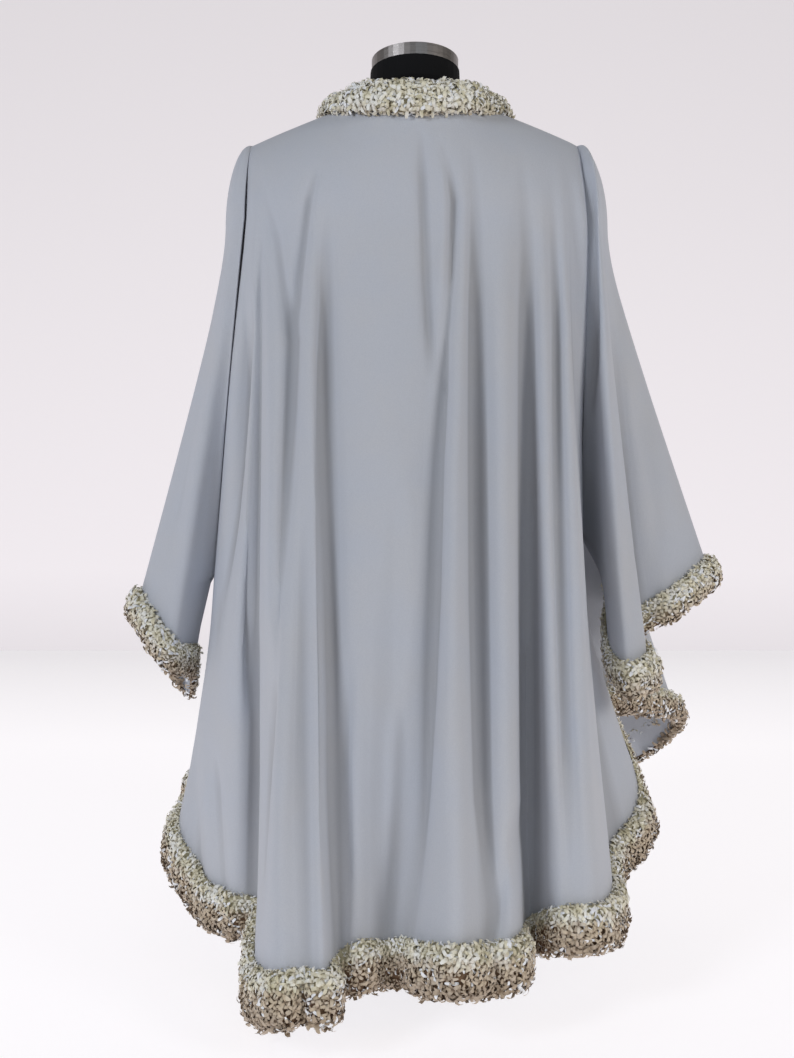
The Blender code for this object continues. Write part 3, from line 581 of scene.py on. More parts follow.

# %% [markdown]
# Each shell is the panel's wall: an outer and an inner skin, closed by a rim. Its points
# carry how far they lie in a hollow, where the wool's colour is darkened as painted shade.

# %% Shells
HOLLOW_ROUNDS = 24
HOLLOW_DEPTH = 0.0035
SHARP_ANGLE = math.radians(60.0)


def hollows(panel):
    """How far each place lies back from the evened-out cloth around it, as a share."""
    even = panel.points.copy()
    for _ in range(HOLLOW_ROUNDS):
        even[:, 1:-1] = (even[:, 2:] + 2 * even[:, 1:-1] + even[:, :-2]) / 4
    return np.sum((even - panel.points) * panel.facing, axis=-1) / HOLLOW_DEPTH


def new_object(name, mesh, materials=()):
    item = bpy.data.objects.new(name, mesh)
    bpy.context.scene.collection.objects.link(item)
    for material in materials:
        mesh.materials.append(material)
    return item


def float_attribute(mesh, name, values):
    layer = mesh.attributes.new(name, "FLOAT", "POINT")
    layer.data.foreach_set("value", np.asarray(values, dtype=np.float32))


def shell_mesh(name, panel):
    rows, columns = panel.points.shape[:2]
    outer = panel.skin(CLOTH_WALL / 2).reshape(-1, 3)
    inner = panel.skin(-CLOTH_WALL / 2).reshape(-1, 3)
    under = rows * columns
    at = np.arange(under).reshape(rows, columns)
    quads = stacked(at[:-1, :-1], at[1:, :-1], at[1:, 1:], at[:-1, 1:]).reshape(-1, 4)
    rim = np.concatenate((at[0, :], at[1:, -1], at[-1, -2::-1], at[-2:0:-1, 0]))
    after = np.roll(rim, -1)
    edge = stacked(rim, after, after + under, rim + under)
    faces = np.concatenate((quads, quads[:, ::-1] + under, edge))
    mesh = bpy.data.meshes.new(name)
    mesh.from_pydata(np.concatenate((outer, inner)).tolist(), [], faces.tolist())
    mesh.shade_smooth()
    mesh.set_sharp_from_angle(angle=SHARP_ANGLE)
    # painted shade: the hollow share is kept so the wool's colour can be darkened there
    float_attribute(mesh, "hollow", np.tile(hollows(panel).ravel(), 2))
    return mesh


shells = {}
for name, panel in PANELS.items():
    shells[name] = new_object(name + "_shell", shell_mesh(name, panel))
print("shell triangles", {name: 2 * len(item.data.polygons) for name, item in shells.items()})

# %% [markdown]
# The trim is a thick pile of short curled petals of ivory and tan cloth, with flecks of white
# satin ribbon among them. Under it lies a soft band that follows the cloth's edge. Its
# section is lower than the solid's by the length of the petals, which then reach it. Down
# the section the petals change in length, and from pale to tan; the tan is partly the trim's
# own lower colour and partly painted shade on its underside.

# %% Trim sections
TRIM_GAP = 0.0008
NECK_TRIM_GAP = 0.003
Spot = namedtuple("Spot", "share height")
TRIM_TOP = table(
    Spot,
    (0.97, 0.003),
    (0.86, 0.007),
    (0.66, 0.01),
    (0.44, 0.011),
    (0.22, 0.011),
    (0.0, 0.009),
)

# How far each point of the lip stands beyond the edge, and its height
TRIM_LIP = ((0.003, 0.005), (0.003, 0.0), (0.001, -0.003))

# How far each point of the section round the neck lies outwards, and its height
NECK_SECTION = (
    (0.052, 0.0), (0.05, 0.004), (0.042, 0.009), (0.032, 0.012),
    (0.021, 0.012), (0.012, 0.009), (0.005, 0.005), (0.002, 0.002),
    (0.004, 0.0), (0.016, 0.0), (0.028, 0.0), (0.04, 0.0),
)
NECK_STATIONS = 120
NECK_FRONT_ANGLE = math.radians(60.0)
NECK_SIDE_REACH = 0.87
NECK_BACK_REACH = 1.13
WALK_STEPS = 60
WALK_REACH = 0.075
TRIM_STANDS = 0.02
ROOM_SHARE = 0.5
LEAST_ROOM = 0.12
PRESSED = 0.4

# Length of the petals and how tan they are, from the top of a section to its lip; the tan is
# partly the trim's own lower colour and partly painted shade on its underside
Pile = namedtuple("Pile", "lengths tans")
HEM_PILE = Pile(
    (0.5, 0.65, 0.9, 0.9, 0.8, 0.8, 0.9, 1.1, 1.2, 1.2),
    (0.0, 0.0, 0.0, 0.2, 0.8, 0.9, 1.0, 1.0, 1.2, 1.3),
)
CUFF_PILE = Pile(
    (0.5, 0.75, 1.0, 0.9, 0.85, 0.85, 0.9, 1.1, 1.2, 1.2),
    (0.0, 0.0, 0.0, 0.1, 0.4, 0.5, 0.6, 0.8, 1.0, 1.2),
)
NECK_PILE = Pile(
    (1.0, 1.0, 1.0, 1.0, 0.9, 0.75, 0.6, 0.5),
    (0.2, 0.1, 0.0, 0.0, 0.0, 0.0, 0.0, 0.0),
)
LEAST_LENGTH = 0.5
# painted shade: the pile is made tanner where its band faces down
DOWN_FACING_PAINTED_SHADE = 0.35
print("points in a section", 3 + len(TRIM_TOP) + len(TRIM_LIP), "at the neck", len(NECK_SECTION))

# %% [markdown]
# The bands along the hems, the cuffs and the front edges take their points from the last
# rows or columns of a panel. Inside a narrow fold there is less room, so they get thinner.

# %% Edge bands


def trim_room(places, facings, walls):
    """Share of its full height that the trim has room for, at each place along an edge."""
    room = []
    for place, facing in zip(places, facings):
        towards = unit(facing[:2])
        apart = walls[:, :2] - place[:2]
        ahead = apart @ towards
        near = ahead > NEAR_ZERO
        radii = np.sum(apart[near] ** 2, axis=1) / (2 * ahead[near])
        radius = min(radii, default=TRIM_STANDS / ROOM_SHARE)
        room.append(np.clip(ROOM_SHARE * radius / TRIM_STANDS, LEAST_ROOM, 1.0))
    return np.array(room)


def trim_ring(base, facing, rise):
    """One section of the band: its top and lip, then the base that lies on the cloth."""
    over = unit(base[0] - base[-1])
    ring = [base[-1]]
    for spot in TRIM_TOP:
        ring.append(along(base, spot.share) + along(facing, spot.share) * spot.height * rise)
    for beyond, height in TRIM_LIP:
        ring.append(base[0] + over * beyond + facing[0] * height * rise)
    ring.extend(base[:-1])
    return np.array(ring)


def hem_band(panel, covered, walls, front=None, body=0):
    """Rings of the band along a lower edge, which covers some rows; a front edge is left out."""
    base = panel.skin(CLOTH_WALL / 2 + TRIM_GAP)[:-1 - covered:-1]
    facing = panel.facing[:-1 - covered:-1]
    room = trim_room(base[0], facing[0], walls)
    if body:
        room = room * lerp(1.0, PRESSED, np.clip(body * facing[0, :, 0], 0.0, 1.0))
    kept = {
        None: slice(None),
        FIRST: slice(PER_FOLD, None),
        LAST: slice(None, -PER_FOLD),
    }[front]
    base, facing, room = base[:, kept], facing[:, kept], room[kept]
    pick = [0, covered // 2, covered - 1]
    rings = [trim_ring(base[pick, c], facing[pick, c], room[c]) for c in range(base.shape[1])]
    return rings, room


def front_band(panel, front, walls):
    """Rings of the band down a front edge, from under the trim of the neck to the hem."""
    columns = np.array([0, PER_FOLD // 2, PER_FOLD])
    if front == LAST:
        columns = -1 - columns
    top = nearest(TURNS, EDGE_TRIM_TURN)
    base = panel.skin(CLOTH_WALL / 2 + TRIM_GAP)[top:, columns]
    facing = panel.facing[top:, columns]
    room = trim_room(base[:, 0], facing[:, 0], walls)
    return [trim_ring(base[r], facing[r], room[r]) for r in range(len(base))], room


hem_rows = int(round((1 - HEM_TRIM_STEP) * (len(FALL) - 1))) + 1
cuff_rows = int(round((1 - CUFF_TRIM_STEP) * len(CUFF_FALL))) + 1
hem_edge = np.concatenate([p.skin(CLOTH_WALL / 2)[-1] for p in (front_left, back, front_right)])


def cuff_band(panel, body):
    return hem_band(panel, cuff_rows, panel.skin(CLOTH_WALL / 2)[-1], body=body)


bands = {
    "trim_hem_back": (hem_band(back, hem_rows, hem_edge), HEM_PILE),
    "trim_hem_right": (hem_band(front_right, hem_rows, hem_edge, LAST), HEM_PILE),
    "trim_hem_left": (hem_band(front_left, hem_rows, hem_edge, FIRST), HEM_PILE),
    "trim_front_right": (front_band(front_right, LAST, hem_edge), HEM_PILE),
    "trim_front_left": (front_band(front_left, FIRST, hem_edge), HEM_PILE),
    "trim_cuff_right": (cuff_band(sleeve_right, -1), CUFF_PILE),
    "trim_cuff_left": (cuff_band(sleeve_left, 1), CUFF_PILE),
}
print("rings", {name: len(rings) for name, ((rings, _), _) in bands.items()})

# %% [markdown]
# The band round the neck runs from one front edge over the shoulders to the other. From each
# place on the neckline a line walks outwards over the cloth, and the section lies along it.

# %% Neck band


def shoulder_surface(x, y):
    side = BACK if y < 0 else FRONT
    y_top, z_top = top_edge(x, side)
    y_yoke = yoke_edge(x, side)
    share = np.clip((y - y_top) / (y_yoke - y_top), 0.0, 1.0)
    return lerp(YOKE_Z, z_top, math.sqrt(1 - share ** 2))


def neck_line(angle):
    """Points over the shoulder from the neckline outwards; the front ones turn to the front."""
    x = NECK_HALF_WIDTH * math.cos(angle)
    y = NECK_HALF_DEPTH * math.sin(angle)
    heading = angle
    if angle > 0:
        heading = angle / NECK_FRONT_ANGLE * math.pi / 2
    if angle < -math.pi:
        heading = -math.pi + (angle + math.pi) / NECK_FRONT_ANGLE * math.pi / 2
    line = []
    for reach in np.linspace(0.0, WALK_REACH, WALK_STEPS):
        px = x + reach * math.cos(heading)
        py = y + reach * math.sin(heading)
        if abs(py) > abs(yoke_edge(px, BACK)):
            break
        line.append((px, py, shoulder_surface(px, py)))
    return np.array(line)


def walk(line, facing, distance):
    lengths = running_sum(np.linalg.norm(np.diff(line, axis=0), axis=1))
    return between(distance, lengths, line), unit(between(distance, lengths, facing))


def neck_band():
    """Rings of the band round the neck, over the shoulders, the back and both fronts."""
    angles = np.linspace(NECK_FRONT_ANGLE, -math.pi - NECK_FRONT_ANGLE, NECK_STATIONS)
    lines = [neck_line(angle) for angle in angles]
    rings = []
    for i, line in enumerate(lines):
        before = lines[max(i - 1, 0)]
        after = lines[min(i + 1, len(lines) - 1)]
        count = min(len(before), len(after), len(line))
        down = np.gradient(line[:count], axis=0)
        facing = unit(np.cross(after[:count] - before[:count], down))
        facing *= np.sign(facing[:, 2:3])
        backwards = max(-math.sin(angles[i]), 0.0) ** 2
        reach = lerp(NECK_SIDE_REACH, NECK_BACK_REACH, backwards)
        ring = []
        for outwards, height in NECK_SECTION:
            point, towards = walk(line[:count], facing, outwards * reach)
            ring.append(point + towards * (CLOTH_WALL / 2 + NECK_TRIM_GAP + height))
        rings.append(np.array(ring))
    return rings, np.ones(len(rings))


bands["trim_neck"] = (neck_band(), NECK_PILE)
print("neck rings", NECK_STATIONS)

# %% [markdown]
# Each band's rings become a closed mesh. Its points carry where the pile grows, how long it
# is there, and how tan, with painted shade added where the band faces down.

# %% Band meshes


def band_mesh(name, rings, room, grown):
    """Skins the rings, and marks where the pile grows, how long it is and how tan, with painted
    shade where it faces down.
    """
    count = len(rings[0])
    points = np.concatenate(rings)
    at = np.arange(len(points)).reshape(-1, count)
    after = np.roll(at, -1, axis=1)
    sides = stacked(at[:-1], after[:-1], after[1:], at[1:]).reshape(-1, 4)
    mesh = bpy.data.meshes.new(name)
    mesh.from_pydata(points.tolist(), [], [*sides.tolist(), at[0].tolist(), at[-1].tolist()])
    mesh.calc_loop_triangles()
    corners = points[np.array([t.vertices[:] for t in mesh.loop_triangles])]
    volume = np.einsum("ij,ij->i", corners[:, 0], np.cross(corners[:, 1], corners[:, 2])).sum()
    if volume < 0:
        mesh.flip_normals()
    mesh.shade_smooth()
    open_points = len(grown.lengths)
    bare = count - open_points
    float_attribute(mesh, "pile", np.tile([1.0] * open_points + [0.0] * bare, len(rings)))
    lengths = np.array(grown.lengths + grown.lengths[-1:] * bare)
    float_attribute(mesh, "length", (lerp(LEAST_LENGTH, 1.0, room)[:, None] * lengths).ravel())
    normals = np.zeros(len(points) * 3, dtype=np.float32)
    mesh.vertex_normals.foreach_get("vector", normals)
    tans = np.tile(grown.tans + grown.tans[-1:] * bare, len(rings))
    # painted shade: tan is added where the band's normal points down
    float_attribute(mesh, "low", np.clip(tans - DOWN_FACING_PAINTED_SHADE * normals[2::3], 0.0, 1.0))
    return mesh


trims = {}
for name, ((rings, room), grown) in bands.items():
    trims[name] = new_object(name + "_pile", band_mesh(name, rings, room, grown))
print("bands", {name: len(item.data.vertices) for name, item in trims.items()})

# %% [markdown]
# Small helpers for node trees: each makes one node, sets its inputs or links them, and gives
# back the node or its result.

# %% Node helpers
Stops = namedtuple("Stops", "low high start end", defaults=(0.0, 1.0))


def feed(tree, socket, value):
    if isinstance(value, bpy.types.NodeSocket):
        tree.links.new(value, socket)
    else:
        socket.default_value = value


def node(tree, kind, settings=None, **inputs):
    """A node with its settings; an input is named, or numbered after an underscore."""
    made = tree.nodes.new(kind)
    for key, value in (settings or {}).items():
        setattr(made, key, value)
    for key, value in inputs.items():
        socket = int(key[1:]) if key[0] == "_" else key.replace("_", " ")
        feed(tree, made.inputs[socket], value)
    return made


def result(tree, kind, settings=None, **inputs):
    return node(tree, kind, settings, **inputs).outputs[0]


def combine(tree, operation, first, second):
    return result(tree, "ShaderNodeMath", {"operation": operation}, _0=first, _1=second)


def mix(tree, share, first, second):
    made = node(tree, "ShaderNodeMix", {"data_type": "RGBA"}, _0=share, _6=first, _7=second)
    return made.outputs[2]


def ramp(tree, value, stops):
    return result(
        tree, "ShaderNodeMapRange", Value=value, From_Min=stops.low, From_Max=stops.high,
        To_Min=stops.start, To_Max=stops.end,
    )


def noise(tree, place, scale, detail, roughness=0.5):
    return result(
        tree, "ShaderNodeTexNoise", Vector=place, Scale=scale, Detail=detail, Roughness=roughness
    )


def stretched(tree, place, scale):
    return result(tree, "ShaderNodeMapping", Vector=place, Scale=scale)


def object_place(tree):
    return tree.nodes.new("ShaderNodeTexCoord").outputs["Object"]


def attribute(tree, name):
    return node(tree, "ShaderNodeAttribute", {"attribute_name": name}).outputs["Fac"]


def principled(name, **values):
    """A material with its tree and shader, the shader's sockets set by name."""
    material = bpy.data.materials.new(name)
    material.use_nodes = True
    shader = material.node_tree.nodes["Principled BSDF"]
    for key, value in values.items():
        shader.inputs[key.replace("_", " ")].default_value = value
    return material, material.node_tree, shader


def add_sockets(tree, inputs, outputs):
    for label, kind, default in inputs:
        socket = tree.interface.new_socket(name=label, in_out="INPUT", socket_type=kind)
        socket.default_value = default
    for label, kind in outputs:
        tree.interface.new_socket(name=label, in_out="OUTPUT", socket_type=kind)


print("materials so far", len(bpy.data.materials))

# %% [markdown]
# Felted wool is a soft, almost matt surface: a fine fibre grain as bump, a faint cloudiness
# in its ivory, and a little sheen for the nap. In the hollows between folds it carries
# painted shade, a deeper and warmer tone.

# %% Wool
IVORY = (0.565, 0.59, 0.648, 1.0)
IVORY_WARM = (0.585, 0.598, 0.635, 1.0)
IVORY_DEEP = (0.475, 0.495, 0.555, 1.0)
# painted shade: the colour the wool darkens to in the hollows between folds
IVORY_PAINTED_SHADE = (0.24, 0.235, 0.235, 1.0)
CLOUD_SCALE = 9.0
GRAIN_SCALE = 700.0
NAP_SCALE = 420.0
NAP_LAID = (1.0, 1.0, 0.18)
GRAIN_DEPTH = 0.25
CLOUD_SHOWS = Stops(0.35, 0.65)
FLECK_SHOWS = Stops(0.35, 0.75, 0.0, 0.35)
HOLLOW_PAINTED_SHADE = Stops(0.0, 1.0, 0.0, 0.36)


def fibre_group():
    """Fibres of wool: a cloudy mask for colour and a fine grain for the surface."""
    tree = bpy.data.node_groups.new("wool_fibres", "ShaderNodeTree")
    number = "NodeSocketFloat"
    takes = (("Grain", number, GRAIN_SCALE), ("Depth", number, GRAIN_DEPTH))
    gives = (("Cloud", number), ("Fleck", number), ("Normal", "NodeSocketVector"))
    add_sockets(tree, takes, gives)
    start = tree.nodes.new("NodeGroupInput")
    end = tree.nodes.new("NodeGroupOutput")
    place = object_place(tree)
    cloud = noise(tree, place, CLOUD_SCALE, detail=3.0, roughness=0.6)
    fine = noise(tree, place, start.outputs["Grain"], detail=3.0)
    nap = noise(tree, stretched(tree, place, NAP_LAID), NAP_SCALE, detail=2.0)
    bump = result(
        tree, "ShaderNodeBump", Strength=start.outputs["Depth"], Distance=0.0006,
        Height=combine(tree, "ADD", fine, nap),
    )
    for socket, value in zip(end.inputs, (cloud, fine, bump)):
        feed(tree, socket, value)
    return tree


def wool_material():
    material, tree, shader = principled(
        "ivory_wool", Roughness=0.92, Sheen_Weight=0.08, Sheen_Roughness=0.45,
        Sheen_Tint=(0.9, 0.92, 1.0, 1.0), Specular_IOR_Level=0.25,
    )
    fibres = node(tree, "ShaderNodeGroup", {"node_tree": fibre_group()})
    cloud = ramp(tree, fibres.outputs["Cloud"], CLOUD_SHOWS)
    fleck = ramp(tree, fibres.outputs["Fleck"], FLECK_SHOWS)
    colour = mix(tree, fleck, mix(tree, cloud, IVORY, IVORY_WARM), IVORY_DEEP)
    # painted shade: the wool is darker where the cloth lies in a hollow
    shade = ramp(tree, attribute(tree, "hollow"), HOLLOW_PAINTED_SHADE)
    tree.links.new(mix(tree, shade, colour, IVORY_PAINTED_SHADE), shader.inputs["Base Color"])
    tree.links.new(fibres.outputs["Normal"], shader.inputs["Normal"])
    return material


wool = wool_material()
for item in shells.values():
    item.data.materials.append(wool)
print("wool on", len(shells), "shells")

# %% [markdown]
# The pile's petals are paler at their tips and carry painted shade at their roots. Down each
# section they turn tan and are darkest at the lip, partly the trim's own lower colour and
# partly painted shade on the side that hangs down. Their tone varies from tuft to tuft and in
# clumps. The cloth band under them carries the same painted shade as their roots.

# %% Pile material
OLIVE = (0.62, 0.57, 0.39, 1.0)
CREAM = (0.9, 0.85, 0.67, 1.0)
PEARL = (0.97, 0.96, 0.9, 1.0)
# painted shade at the roots of the petals
BEIGE_ROOT_SHADE = (0.62, 0.55, 0.42, 1.0)
TAWNY = (0.6, 0.48, 0.35, 1.0)
# painted shade colour for the roots, the lip and the band under the pile
UMBER_PAINTED_SHADE = (0.2, 0.12, 0.07, 1.0)
CLUMP_SCALE = 70.0
CLUMP_SHOWS = Stops(0.35, 0.65)
CREAM_SHOWS = Stops(0.2, 0.8)
PEARL_SHOWS = Stops(0.8, 1.5)
# tan down the section: partly the trim's own colour, partly painted shade on its underside
TAN_AND_PAINTED_SHADE = Stops(0.1, 0.8, 0.0, 0.85)
EDGE_PAINTED_SHADE = Stops(0.85, 1.0, 0.0, 0.4)
ROOT_PAINTED_SHADE = Stops(0.05, 0.7)
BAND_PAINTED_SHADE = Stops(0.0, 0.8)
TIP_SHOWS = Stops(0.0, 0.55)


def pile_material():
    material, tree, shader = principled(
        "cream_pile", Roughness=0.75, Sheen_Weight=0.3, Specular_IOR_Level=0.3
    )
    clump = noise(tree, object_place(tree), CLUMP_SCALE, detail=1.0)
    tone = combine(tree, "ADD", attribute(tree, "tone"), ramp(tree, clump, CLUMP_SHOWS))
    low = attribute(tree, "low")
    dull = mix(tree, ramp(tree, tone, CREAM_SHOWS), OLIVE, CREAM)
    petal = mix(tree, ramp(tree, tone, PEARL_SHOWS), dull, PEARL)
    # partly the trim's own tan, partly painted shade on the side that hangs down
    tanned_and_shaded = mix(tree, ramp(tree, low, TAN_AND_PAINTED_SHADE), petal, TAWNY)
    # painted shade: darkest at the lip of the section
    darker = mix(tree, ramp(tree, low, EDGE_PAINTED_SHADE), tanned_and_shaded, UMBER_PAINTED_SHADE)
    # painted shade at the roots, deeper on the side that hangs down
    root = mix(tree, ramp(tree, low, ROOT_PAINTED_SHADE), BEIGE_ROOT_SHADE, UMBER_PAINTED_SHADE)
    colour = mix(tree, ramp(tree, attribute(tree, "tip"), TIP_SHOWS), root, darker)
    tree.links.new(colour, shader.inputs["Base Color"])
    return material


def band_material():
    material, tree, shader = principled("pile_backing", Roughness=0.9)
    # painted shade: the band darkens towards the side that hangs down
    colour = mix(tree, ramp(tree, attribute(tree, "low"), BAND_PAINTED_SHADE), OLIVE, UMBER_PAINTED_SHADE)
    tree.links.new(colour, shader.inputs["Base Color"])
    return material


pile = pile_material()
band_cloth = band_material()
satin, _, _ = principled(
    "white_satin", Base_Color=(0.97, 0.98, 1.0, 1.0), Roughness=0.3, Sheen_Weight=0.3
)
print("pile materials", pile.name, band_cloth.name, satin.name)

# %% [markdown]
# The form is covered in black jersey. Its ring is brushed steel, with fine lines round it,
# and the stand is painted black.

# %% Form and stand
STEEL = (0.27, 0.25, 0.24, 1.0)
LINES_LAID = (30.0, 30.0, 2600.0)
LINES_ROUGHEN = Stops(0.3, 0.7, 0.26, 0.42)


def steel_material():
    material, tree, shader = principled(
        "brushed_steel", Metallic=1.0, Base_Color=STEEL, Anisotropic=0.6
    )
    lines = noise(tree, stretched(tree, object_place(tree), LINES_LAID), 1.0, detail=2.0)
    tree.links.new(ramp(tree, lines, LINES_ROUGHEN), shader.inputs["Roughness"])
    return material


jersey, _, _ = principled(
    "black_jersey", Base_Color=(0.006, 0.006, 0.007, 1.0), Roughness=0.85, Specular_IOR_Level=0.2
)
stand_paint, _, _ = principled("stand_paint", Base_Color=(0.02, 0.02, 0.022, 1.0), Roughness=0.4)
FORM_FINISHES = {
    "form_body": jersey,
    "form_cap": jersey,
    "form_ring": steel_material(),
    "stand_pole": stand_paint,
    "stand_base": stand_paint,
}
for name, material in FORM_FINISHES.items():
    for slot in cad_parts[name].material_slots:
        slot.material = material
print("materials", len(bpy.data.materials))

# %% [markdown]
# One petal is a short strip of cloth that widens, rounds off and curls over. Three kinds of
# tuft hold four petals each, and a fleck of satin is two more strips.

# %% Tufts
Petal = namedtuple("Petal", "turn lean length width curl")
STRIP_STEPS = 4
WIDE_ROOT = 0.55
WIDER_MIDDLE = 0.75
NARROW_TIP = 0.8
PER_TUFT = 4
PETALS = table(
    Petal,
    (0.0, 0.2, 0.0125, 0.0044, 2.6),
    (1.6, 0.5, 0.011, 0.0036, 2.4),
    (3.0, 0.1, 0.0135, 0.0048, 2.8),
    (4.7, 0.7, 0.0105, 0.004, 2.1),
    (0.5, 0.5, 0.011, 0.005, 2.5),
    (2.0, 0.1, 0.014, 0.0036, 2.9),
    (3.5, 0.4, 0.012, 0.0042, 2.4),
    (5.2, 0.8, 0.01, 0.0038, 1.6),
    (0.2, 0.2, 0.013, 0.0046, 2.7),
    (1.8, 0.6, 0.0105, 0.0034, 2.0),
    (3.3, 0.2, 0.0115, 0.0044, 2.7),
    (4.9, 0.5, 0.0125, 0.004, 2.6),
)
TUFTS = [PETALS[i:i + PER_TUFT] for i in range(0, len(PETALS), PER_TUFT)]
SATIN_TUFT = table(Petal, (0.3, 0.3, 0.012, 0.0042, 2.4), (3.2, 0.6, 0.0105, 0.0036, 2.0))


def tuft_mesh(name, petals, material):
    """Curled strips from one root; tip runs from 0 at the root to 1 at the end."""
    points = []
    tips = []
    faces = []
    for petal in petals:
        across = np.array((-math.sin(petal.turn), math.cos(petal.turn), 0.0))
        outwards = np.array((math.cos(petal.turn), math.sin(petal.turn), 0.0))
        place = np.zeros(3)
        start = len(points)
        for step in range(STRIP_STEPS + 1):
            share = step / STRIP_STEPS
            width = petal.width * (WIDE_ROOT + WIDER_MIDDLE * share - NARROW_TIP * share ** 4)
            points.extend((place - across * width / 2, place + across * width / 2))
            tips.extend((share, share))
            angle = petal.lean + petal.curl * share
            step_up = np.array((0.0, 0.0, math.cos(angle))) + outwards * math.sin(angle)
            place = place + step_up * petal.length / STRIP_STEPS
        for step in range(STRIP_STEPS):
            a = start + 2 * step
            faces.append((a, a + 1, a + 3, a + 2))
    mesh = bpy.data.meshes.new(name)
    mesh.from_pydata([tuple(p) for p in points], [], faces)
    mesh.shade_smooth()
    float_attribute(mesh, "tip", tips)
    mesh.materials.append(material)
    return new_object(name, mesh)


tufts = [tuft_mesh(f"tuft_{i}", petals, pile) for i, petals in enumerate(TUFTS)]
fleck = tuft_mesh("tuft_satin", SATIN_TUFT, satin)
tuft_store = bpy.data.collections.new("tufts")
bpy.context.scene.collection.children.link(tuft_store)
for item in tufts:
    bpy.context.scene.collection.objects.unlink(item)
    tuft_store.objects.link(item)
print("tufts", len(tufts), "and a fleck of", len(fleck.data.polygons), "faces")

# %% [markdown]
# A node graph spreads the tufts over a band, turns and leans each at random from a fixed
# seed, and lets it grow to the room it has. Some of the tufts are flecks of satin. The tone
# of each is drawn from the same seed.

# %% Pile graph
SPACING = 0.0041
DENSEST = 90000.0
SATIN_SHARE = 0.18
LEAN = 0.4
SIZES = (0.7, 1.2)
SATIN_DRAW = 0
TONE_DRAW = 11
TURN_DRAW = 23
SIZE_DRAW = 31


def pile_graph():
    """Spreads tufts and satin flecks over a band, and keeps the band under them."""
    tree = bpy.data.node_groups.new("pile", "GeometryNodeTree")
    tree.interface.new_socket(name="Geometry", in_out="INPUT", socket_type="NodeSocketGeometry")
    number = "NodeSocketFloat"
    settings = (("Spacing", number, SPACING), ("Satin Share", number, SATIN_SHARE))
    settings += (("Lean", number, LEAN), ("Seed", "NodeSocketInt", SEED))
    add_sockets(tree, settings, (("Geometry", "NodeSocketGeometry"),))
    start = tree.nodes.new("NodeGroupInput")
    end = tree.nodes.new("NodeGroupOutput")
    band = start.outputs["Geometry"]

    def named(name):
        kind = "GeometryNodeInputNamedAttribute"
        return result(tree, kind, {"data_type": "FLOAT"}, Name=name)

    def drawn(kind, draw, *limits):
        made = node(tree, "FunctionNodeRandomValue", {"data_type": kind})
        for socket, value in zip([s for s in made.inputs if s.enabled], limits):
            feed(tree, socket, value)
        feed(tree, made.inputs["Seed"], combine(tree, "ADD", start.outputs["Seed"], draw))
        return next(s for s in made.outputs if s.enabled)

    spots = node(
        tree,
        "GeometryNodeDistributePointsOnFaces",
        {"distribute_method": "POISSON"},
        Mesh=band,
        Density_Max=DENSEST,
        Density_Factor=named("pile"),
        Distance_Min=start.outputs["Spacing"],
        Seed=start.outputs["Seed"],
    )
    toned = result(
        tree,
        "GeometryNodeStoreNamedAttribute",
        {"data_type": "FLOAT", "domain": "POINT"},
        Geometry=spots.outputs["Points"],
        Name="tone",
        Value=drawn("FLOAT", TONE_DRAW, 0.0, 1.0),
    )
    lean = start.outputs["Lean"]
    back_lean = combine(tree, "MULTIPLY", lean, -1.0)
    low = result(tree, "ShaderNodeCombineXYZ", X=back_lean, Y=back_lean, Z=0.0)
    high = result(tree, "ShaderNodeCombineXYZ", X=lean, Y=lean, Z=2 * math.pi)
    turn = drawn("FLOAT_VECTOR", TURN_DRAW, low, high)
    rotation = result(
        tree,
        "FunctionNodeRotateRotation",
        {"rotation_space": "LOCAL"},
        Rotation=spots.outputs["Rotation"],
        Rotate_By=result(tree, "FunctionNodeEulerToRotation", Euler=turn),
    )
    size = combine(tree, "MULTIPLY", drawn("FLOAT", SIZE_DRAW, *SIZES), named("length"))
    is_satin = drawn("BOOLEAN", SATIN_DRAW, start.outputs["Satin Share"])
    not_satin = result(tree, "FunctionNodeBooleanMath", {"operation": "NOT"}, _0=is_satin)
    store = result(
        tree, "GeometryNodeCollectionInfo", Collection=tuft_store, Separate_Children=True
    )
    one = node(tree, "GeometryNodeObjectInfo", Object=fleck)

    def planted(source, chosen, pick, material):
        made = result(
            tree, "GeometryNodeInstanceOnPoints", Points=toned, Instance=source, Selection=chosen,
            Pick_Instance=pick, Rotation=rotation, Scale=size,
        )
        real = result(tree, "GeometryNodeRealizeInstances", Geometry=made)
        return result(tree, "GeometryNodeSetMaterial", Geometry=real, Material=material)

    petals = planted(store, not_satin, True, pile)
    flecks = planted(one.outputs["Geometry"], is_satin, False, satin)
    backing = result(tree, "GeometryNodeSetMaterial", Geometry=band, Material=band_cloth)
    joined = tree.nodes.new("GeometryNodeJoinGeometry")
    for part in (flecks, petals, backing):
        tree.links.new(part, joined.inputs[0])
    tree.links.new(joined.outputs[0], end.inputs[0])
    return tree


graph = pile_graph()
sockets = {s.name: s.identifier for s in graph.interface.items_tree if s.in_out == "INPUT"}
print("pile graph", len(graph.nodes), "nodes")

# %% [markdown]
# The graph runs once on each band, with a seed of its own, and the result is kept as a plain
# mesh.

# %% Growing the pile


def grow(item, seed, spacing):
    """Runs the graph on a band and keeps the result as a plain mesh."""
    modifier = item.modifiers.new("pile", "NODES")
    modifier.node_group = graph
    modifier[sockets["Seed"]] = seed
    modifier[sockets["Spacing"]] = spacing
    bpy.context.view_layer.update()
    grown = bpy.data.meshes.new_from_object(
        item.evaluated_get(bpy.context.evaluated_depsgraph_get())
    )
    item.modifiers.remove(modifier)
    item.data = grown
    grown.calc_loop_triangles()
    return len(grown.loop_triangles)


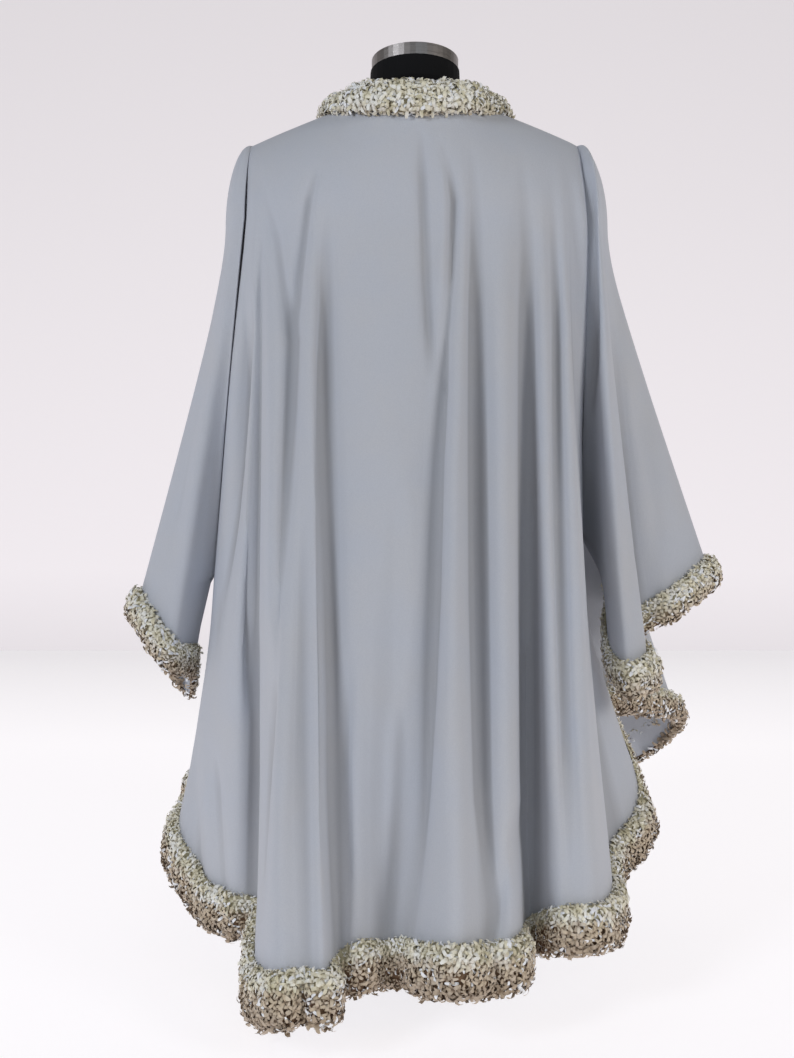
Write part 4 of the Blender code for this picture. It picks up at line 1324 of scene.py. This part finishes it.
counts = {}
for i, (name, item) in enumerate(trims.items()):
    counts[name] = grow(item, SEED + i, SPACING)
for item in (*tufts, fleck):
    bpy.data.objects.remove(item)
bpy.data.collections.remove(tuft_store)
print("pile triangles", counts, "in all", sum(counts.values()))

# %% [markdown]
# Each shell and each band of pile takes the place of the solid of the same name: it is
# attached to the body, and that solid is hidden. The shells are sheets of wool cut flat and hung.

# %% Pieces


for name, item in trims.items():
    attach(item, BODY)
    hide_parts(name)
for name, item in shells.items():
    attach(item, BODY)
    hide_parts(name)

# %% [markdown]
# A plain pale floor and a paler wall far behind it. Both glow a little, so the cloak reads
# darker than what is behind it, as in the photograph. Their glow changes along one axis.

# %% Stage
WALL_Y = 3.2
HALF_SIZE = 6.0
WALL_HEIGHT = 6.0
# The floor's glow fades out towards the camera and the wall's falls off towards its top. Painted
# shadow: the wall's glow is weaker at its foot and the floor's weaker near the wall, a darker band
# where they meet.
FLOOR_FADES = (Stops(-2.4, -0.4, 0.0, 0.77), Stops(1.2, 3.0, 1.0, 0.74))
WALL_FADES = (Stops(0.0, 3.0, 0.64, 0.56), Stops(0.0, 0.35, 0.86, 1.0))


def glowing_paint(name, colour, roughness, glow, axis, fades):
    material, tree, shader = principled(name, Base_Color=colour, Roughness=roughness)
    split = node(tree, "ShaderNodeSeparateXYZ", Vector=object_place(tree))
    first, second = (ramp(tree, split.outputs[axis], stops) for stops in fades)
    shader.inputs["Emission Color"].default_value = glow
    tree.links.new(combine(tree, "MULTIPLY", first, second), shader.inputs["Emission Strength"])
    return material


def plane(name, near, far, material):
    """A wide plane between two edges, each given as its depth and height."""
    corners = [(-HALF_SIZE, *near), (HALF_SIZE, *near), (HALF_SIZE, *far), (-HALF_SIZE, *far)]
    mesh = bpy.data.meshes.new(name)
    mesh.from_pydata(corners, [], [(0, 1, 2, 3)])
    item = new_object(name, mesh, (material,))


floor_paint = glowing_paint(
    "floor_paint", (0.36, 0.35, 0.36, 1.0), 0.8, (1.0, 0.98, 1.0, 1.0), "Y", FLOOR_FADES
)
wall_paint = glowing_paint(
    "wall_paint", (0.4, 0.38, 0.39, 1.0), 0.9, (1.0, 0.955, 0.99, 1.0), "Z", WALL_FADES
)
plane("floor", (-HALF_SIZE, 0), (WALL_Y, 0), floor_paint)
plane("wall", (WALL_Y, 0), (WALL_Y, WALL_HEIGHT), wall_paint)
print("stage", floor_paint.name, wall_paint.name)

# %% [markdown]
# Large soft lights: the main one from the left, a weak cool one from the middle and a warmer
# one from the right, over a faint warm light from all around.

# %% Light
Softbox = namedtuple("Softbox", "name place size power colour")
SOFTBOXES = table(
    Softbox,
    ("key", (-2.4, -2.2, 2.0), 0.9, 40.0, (0.87, 0.92, 1.0)),
    ("front", (0.7, -3.1, 1.9), 1.2, 8.0, (0.72, 0.86, 1.0)),
    ("right", (2.5, -1.9, 1.6), 0.9, 25.0, (0.98, 0.95, 0.92)),
)
AIM = Vector((0.0, 0.0, 0.7))
AROUND = (1.0, 0.95, 0.88, 1.0)
AROUND_STRENGTH = 0.16

for box in SOFTBOXES:
    light = bpy.data.lights.new(box.name, "AREA")
    light.shape = "SQUARE"
    light.size = box.size
    light.energy = box.power
    light.color = box.colour
    item = bpy.data.objects.new(box.name, light)
    bpy.context.scene.collection.objects.link(item)
    item.location = box.place
    item.rotation_euler = (AIM - Vector(box.place)).to_track_quat("-Z", "Y").to_euler()
world = bpy.data.worlds.new("studio")
world.use_nodes = True
background = world.node_tree.nodes["Background"]
background.inputs["Color"].default_value = AROUND
background.inputs["Strength"].default_value = AROUND_STRENGTH
bpy.context.scene.world = world
bpy.context.scene.view_settings.view_transform = "Standard"
print("lights", len(SOFTBOXES))
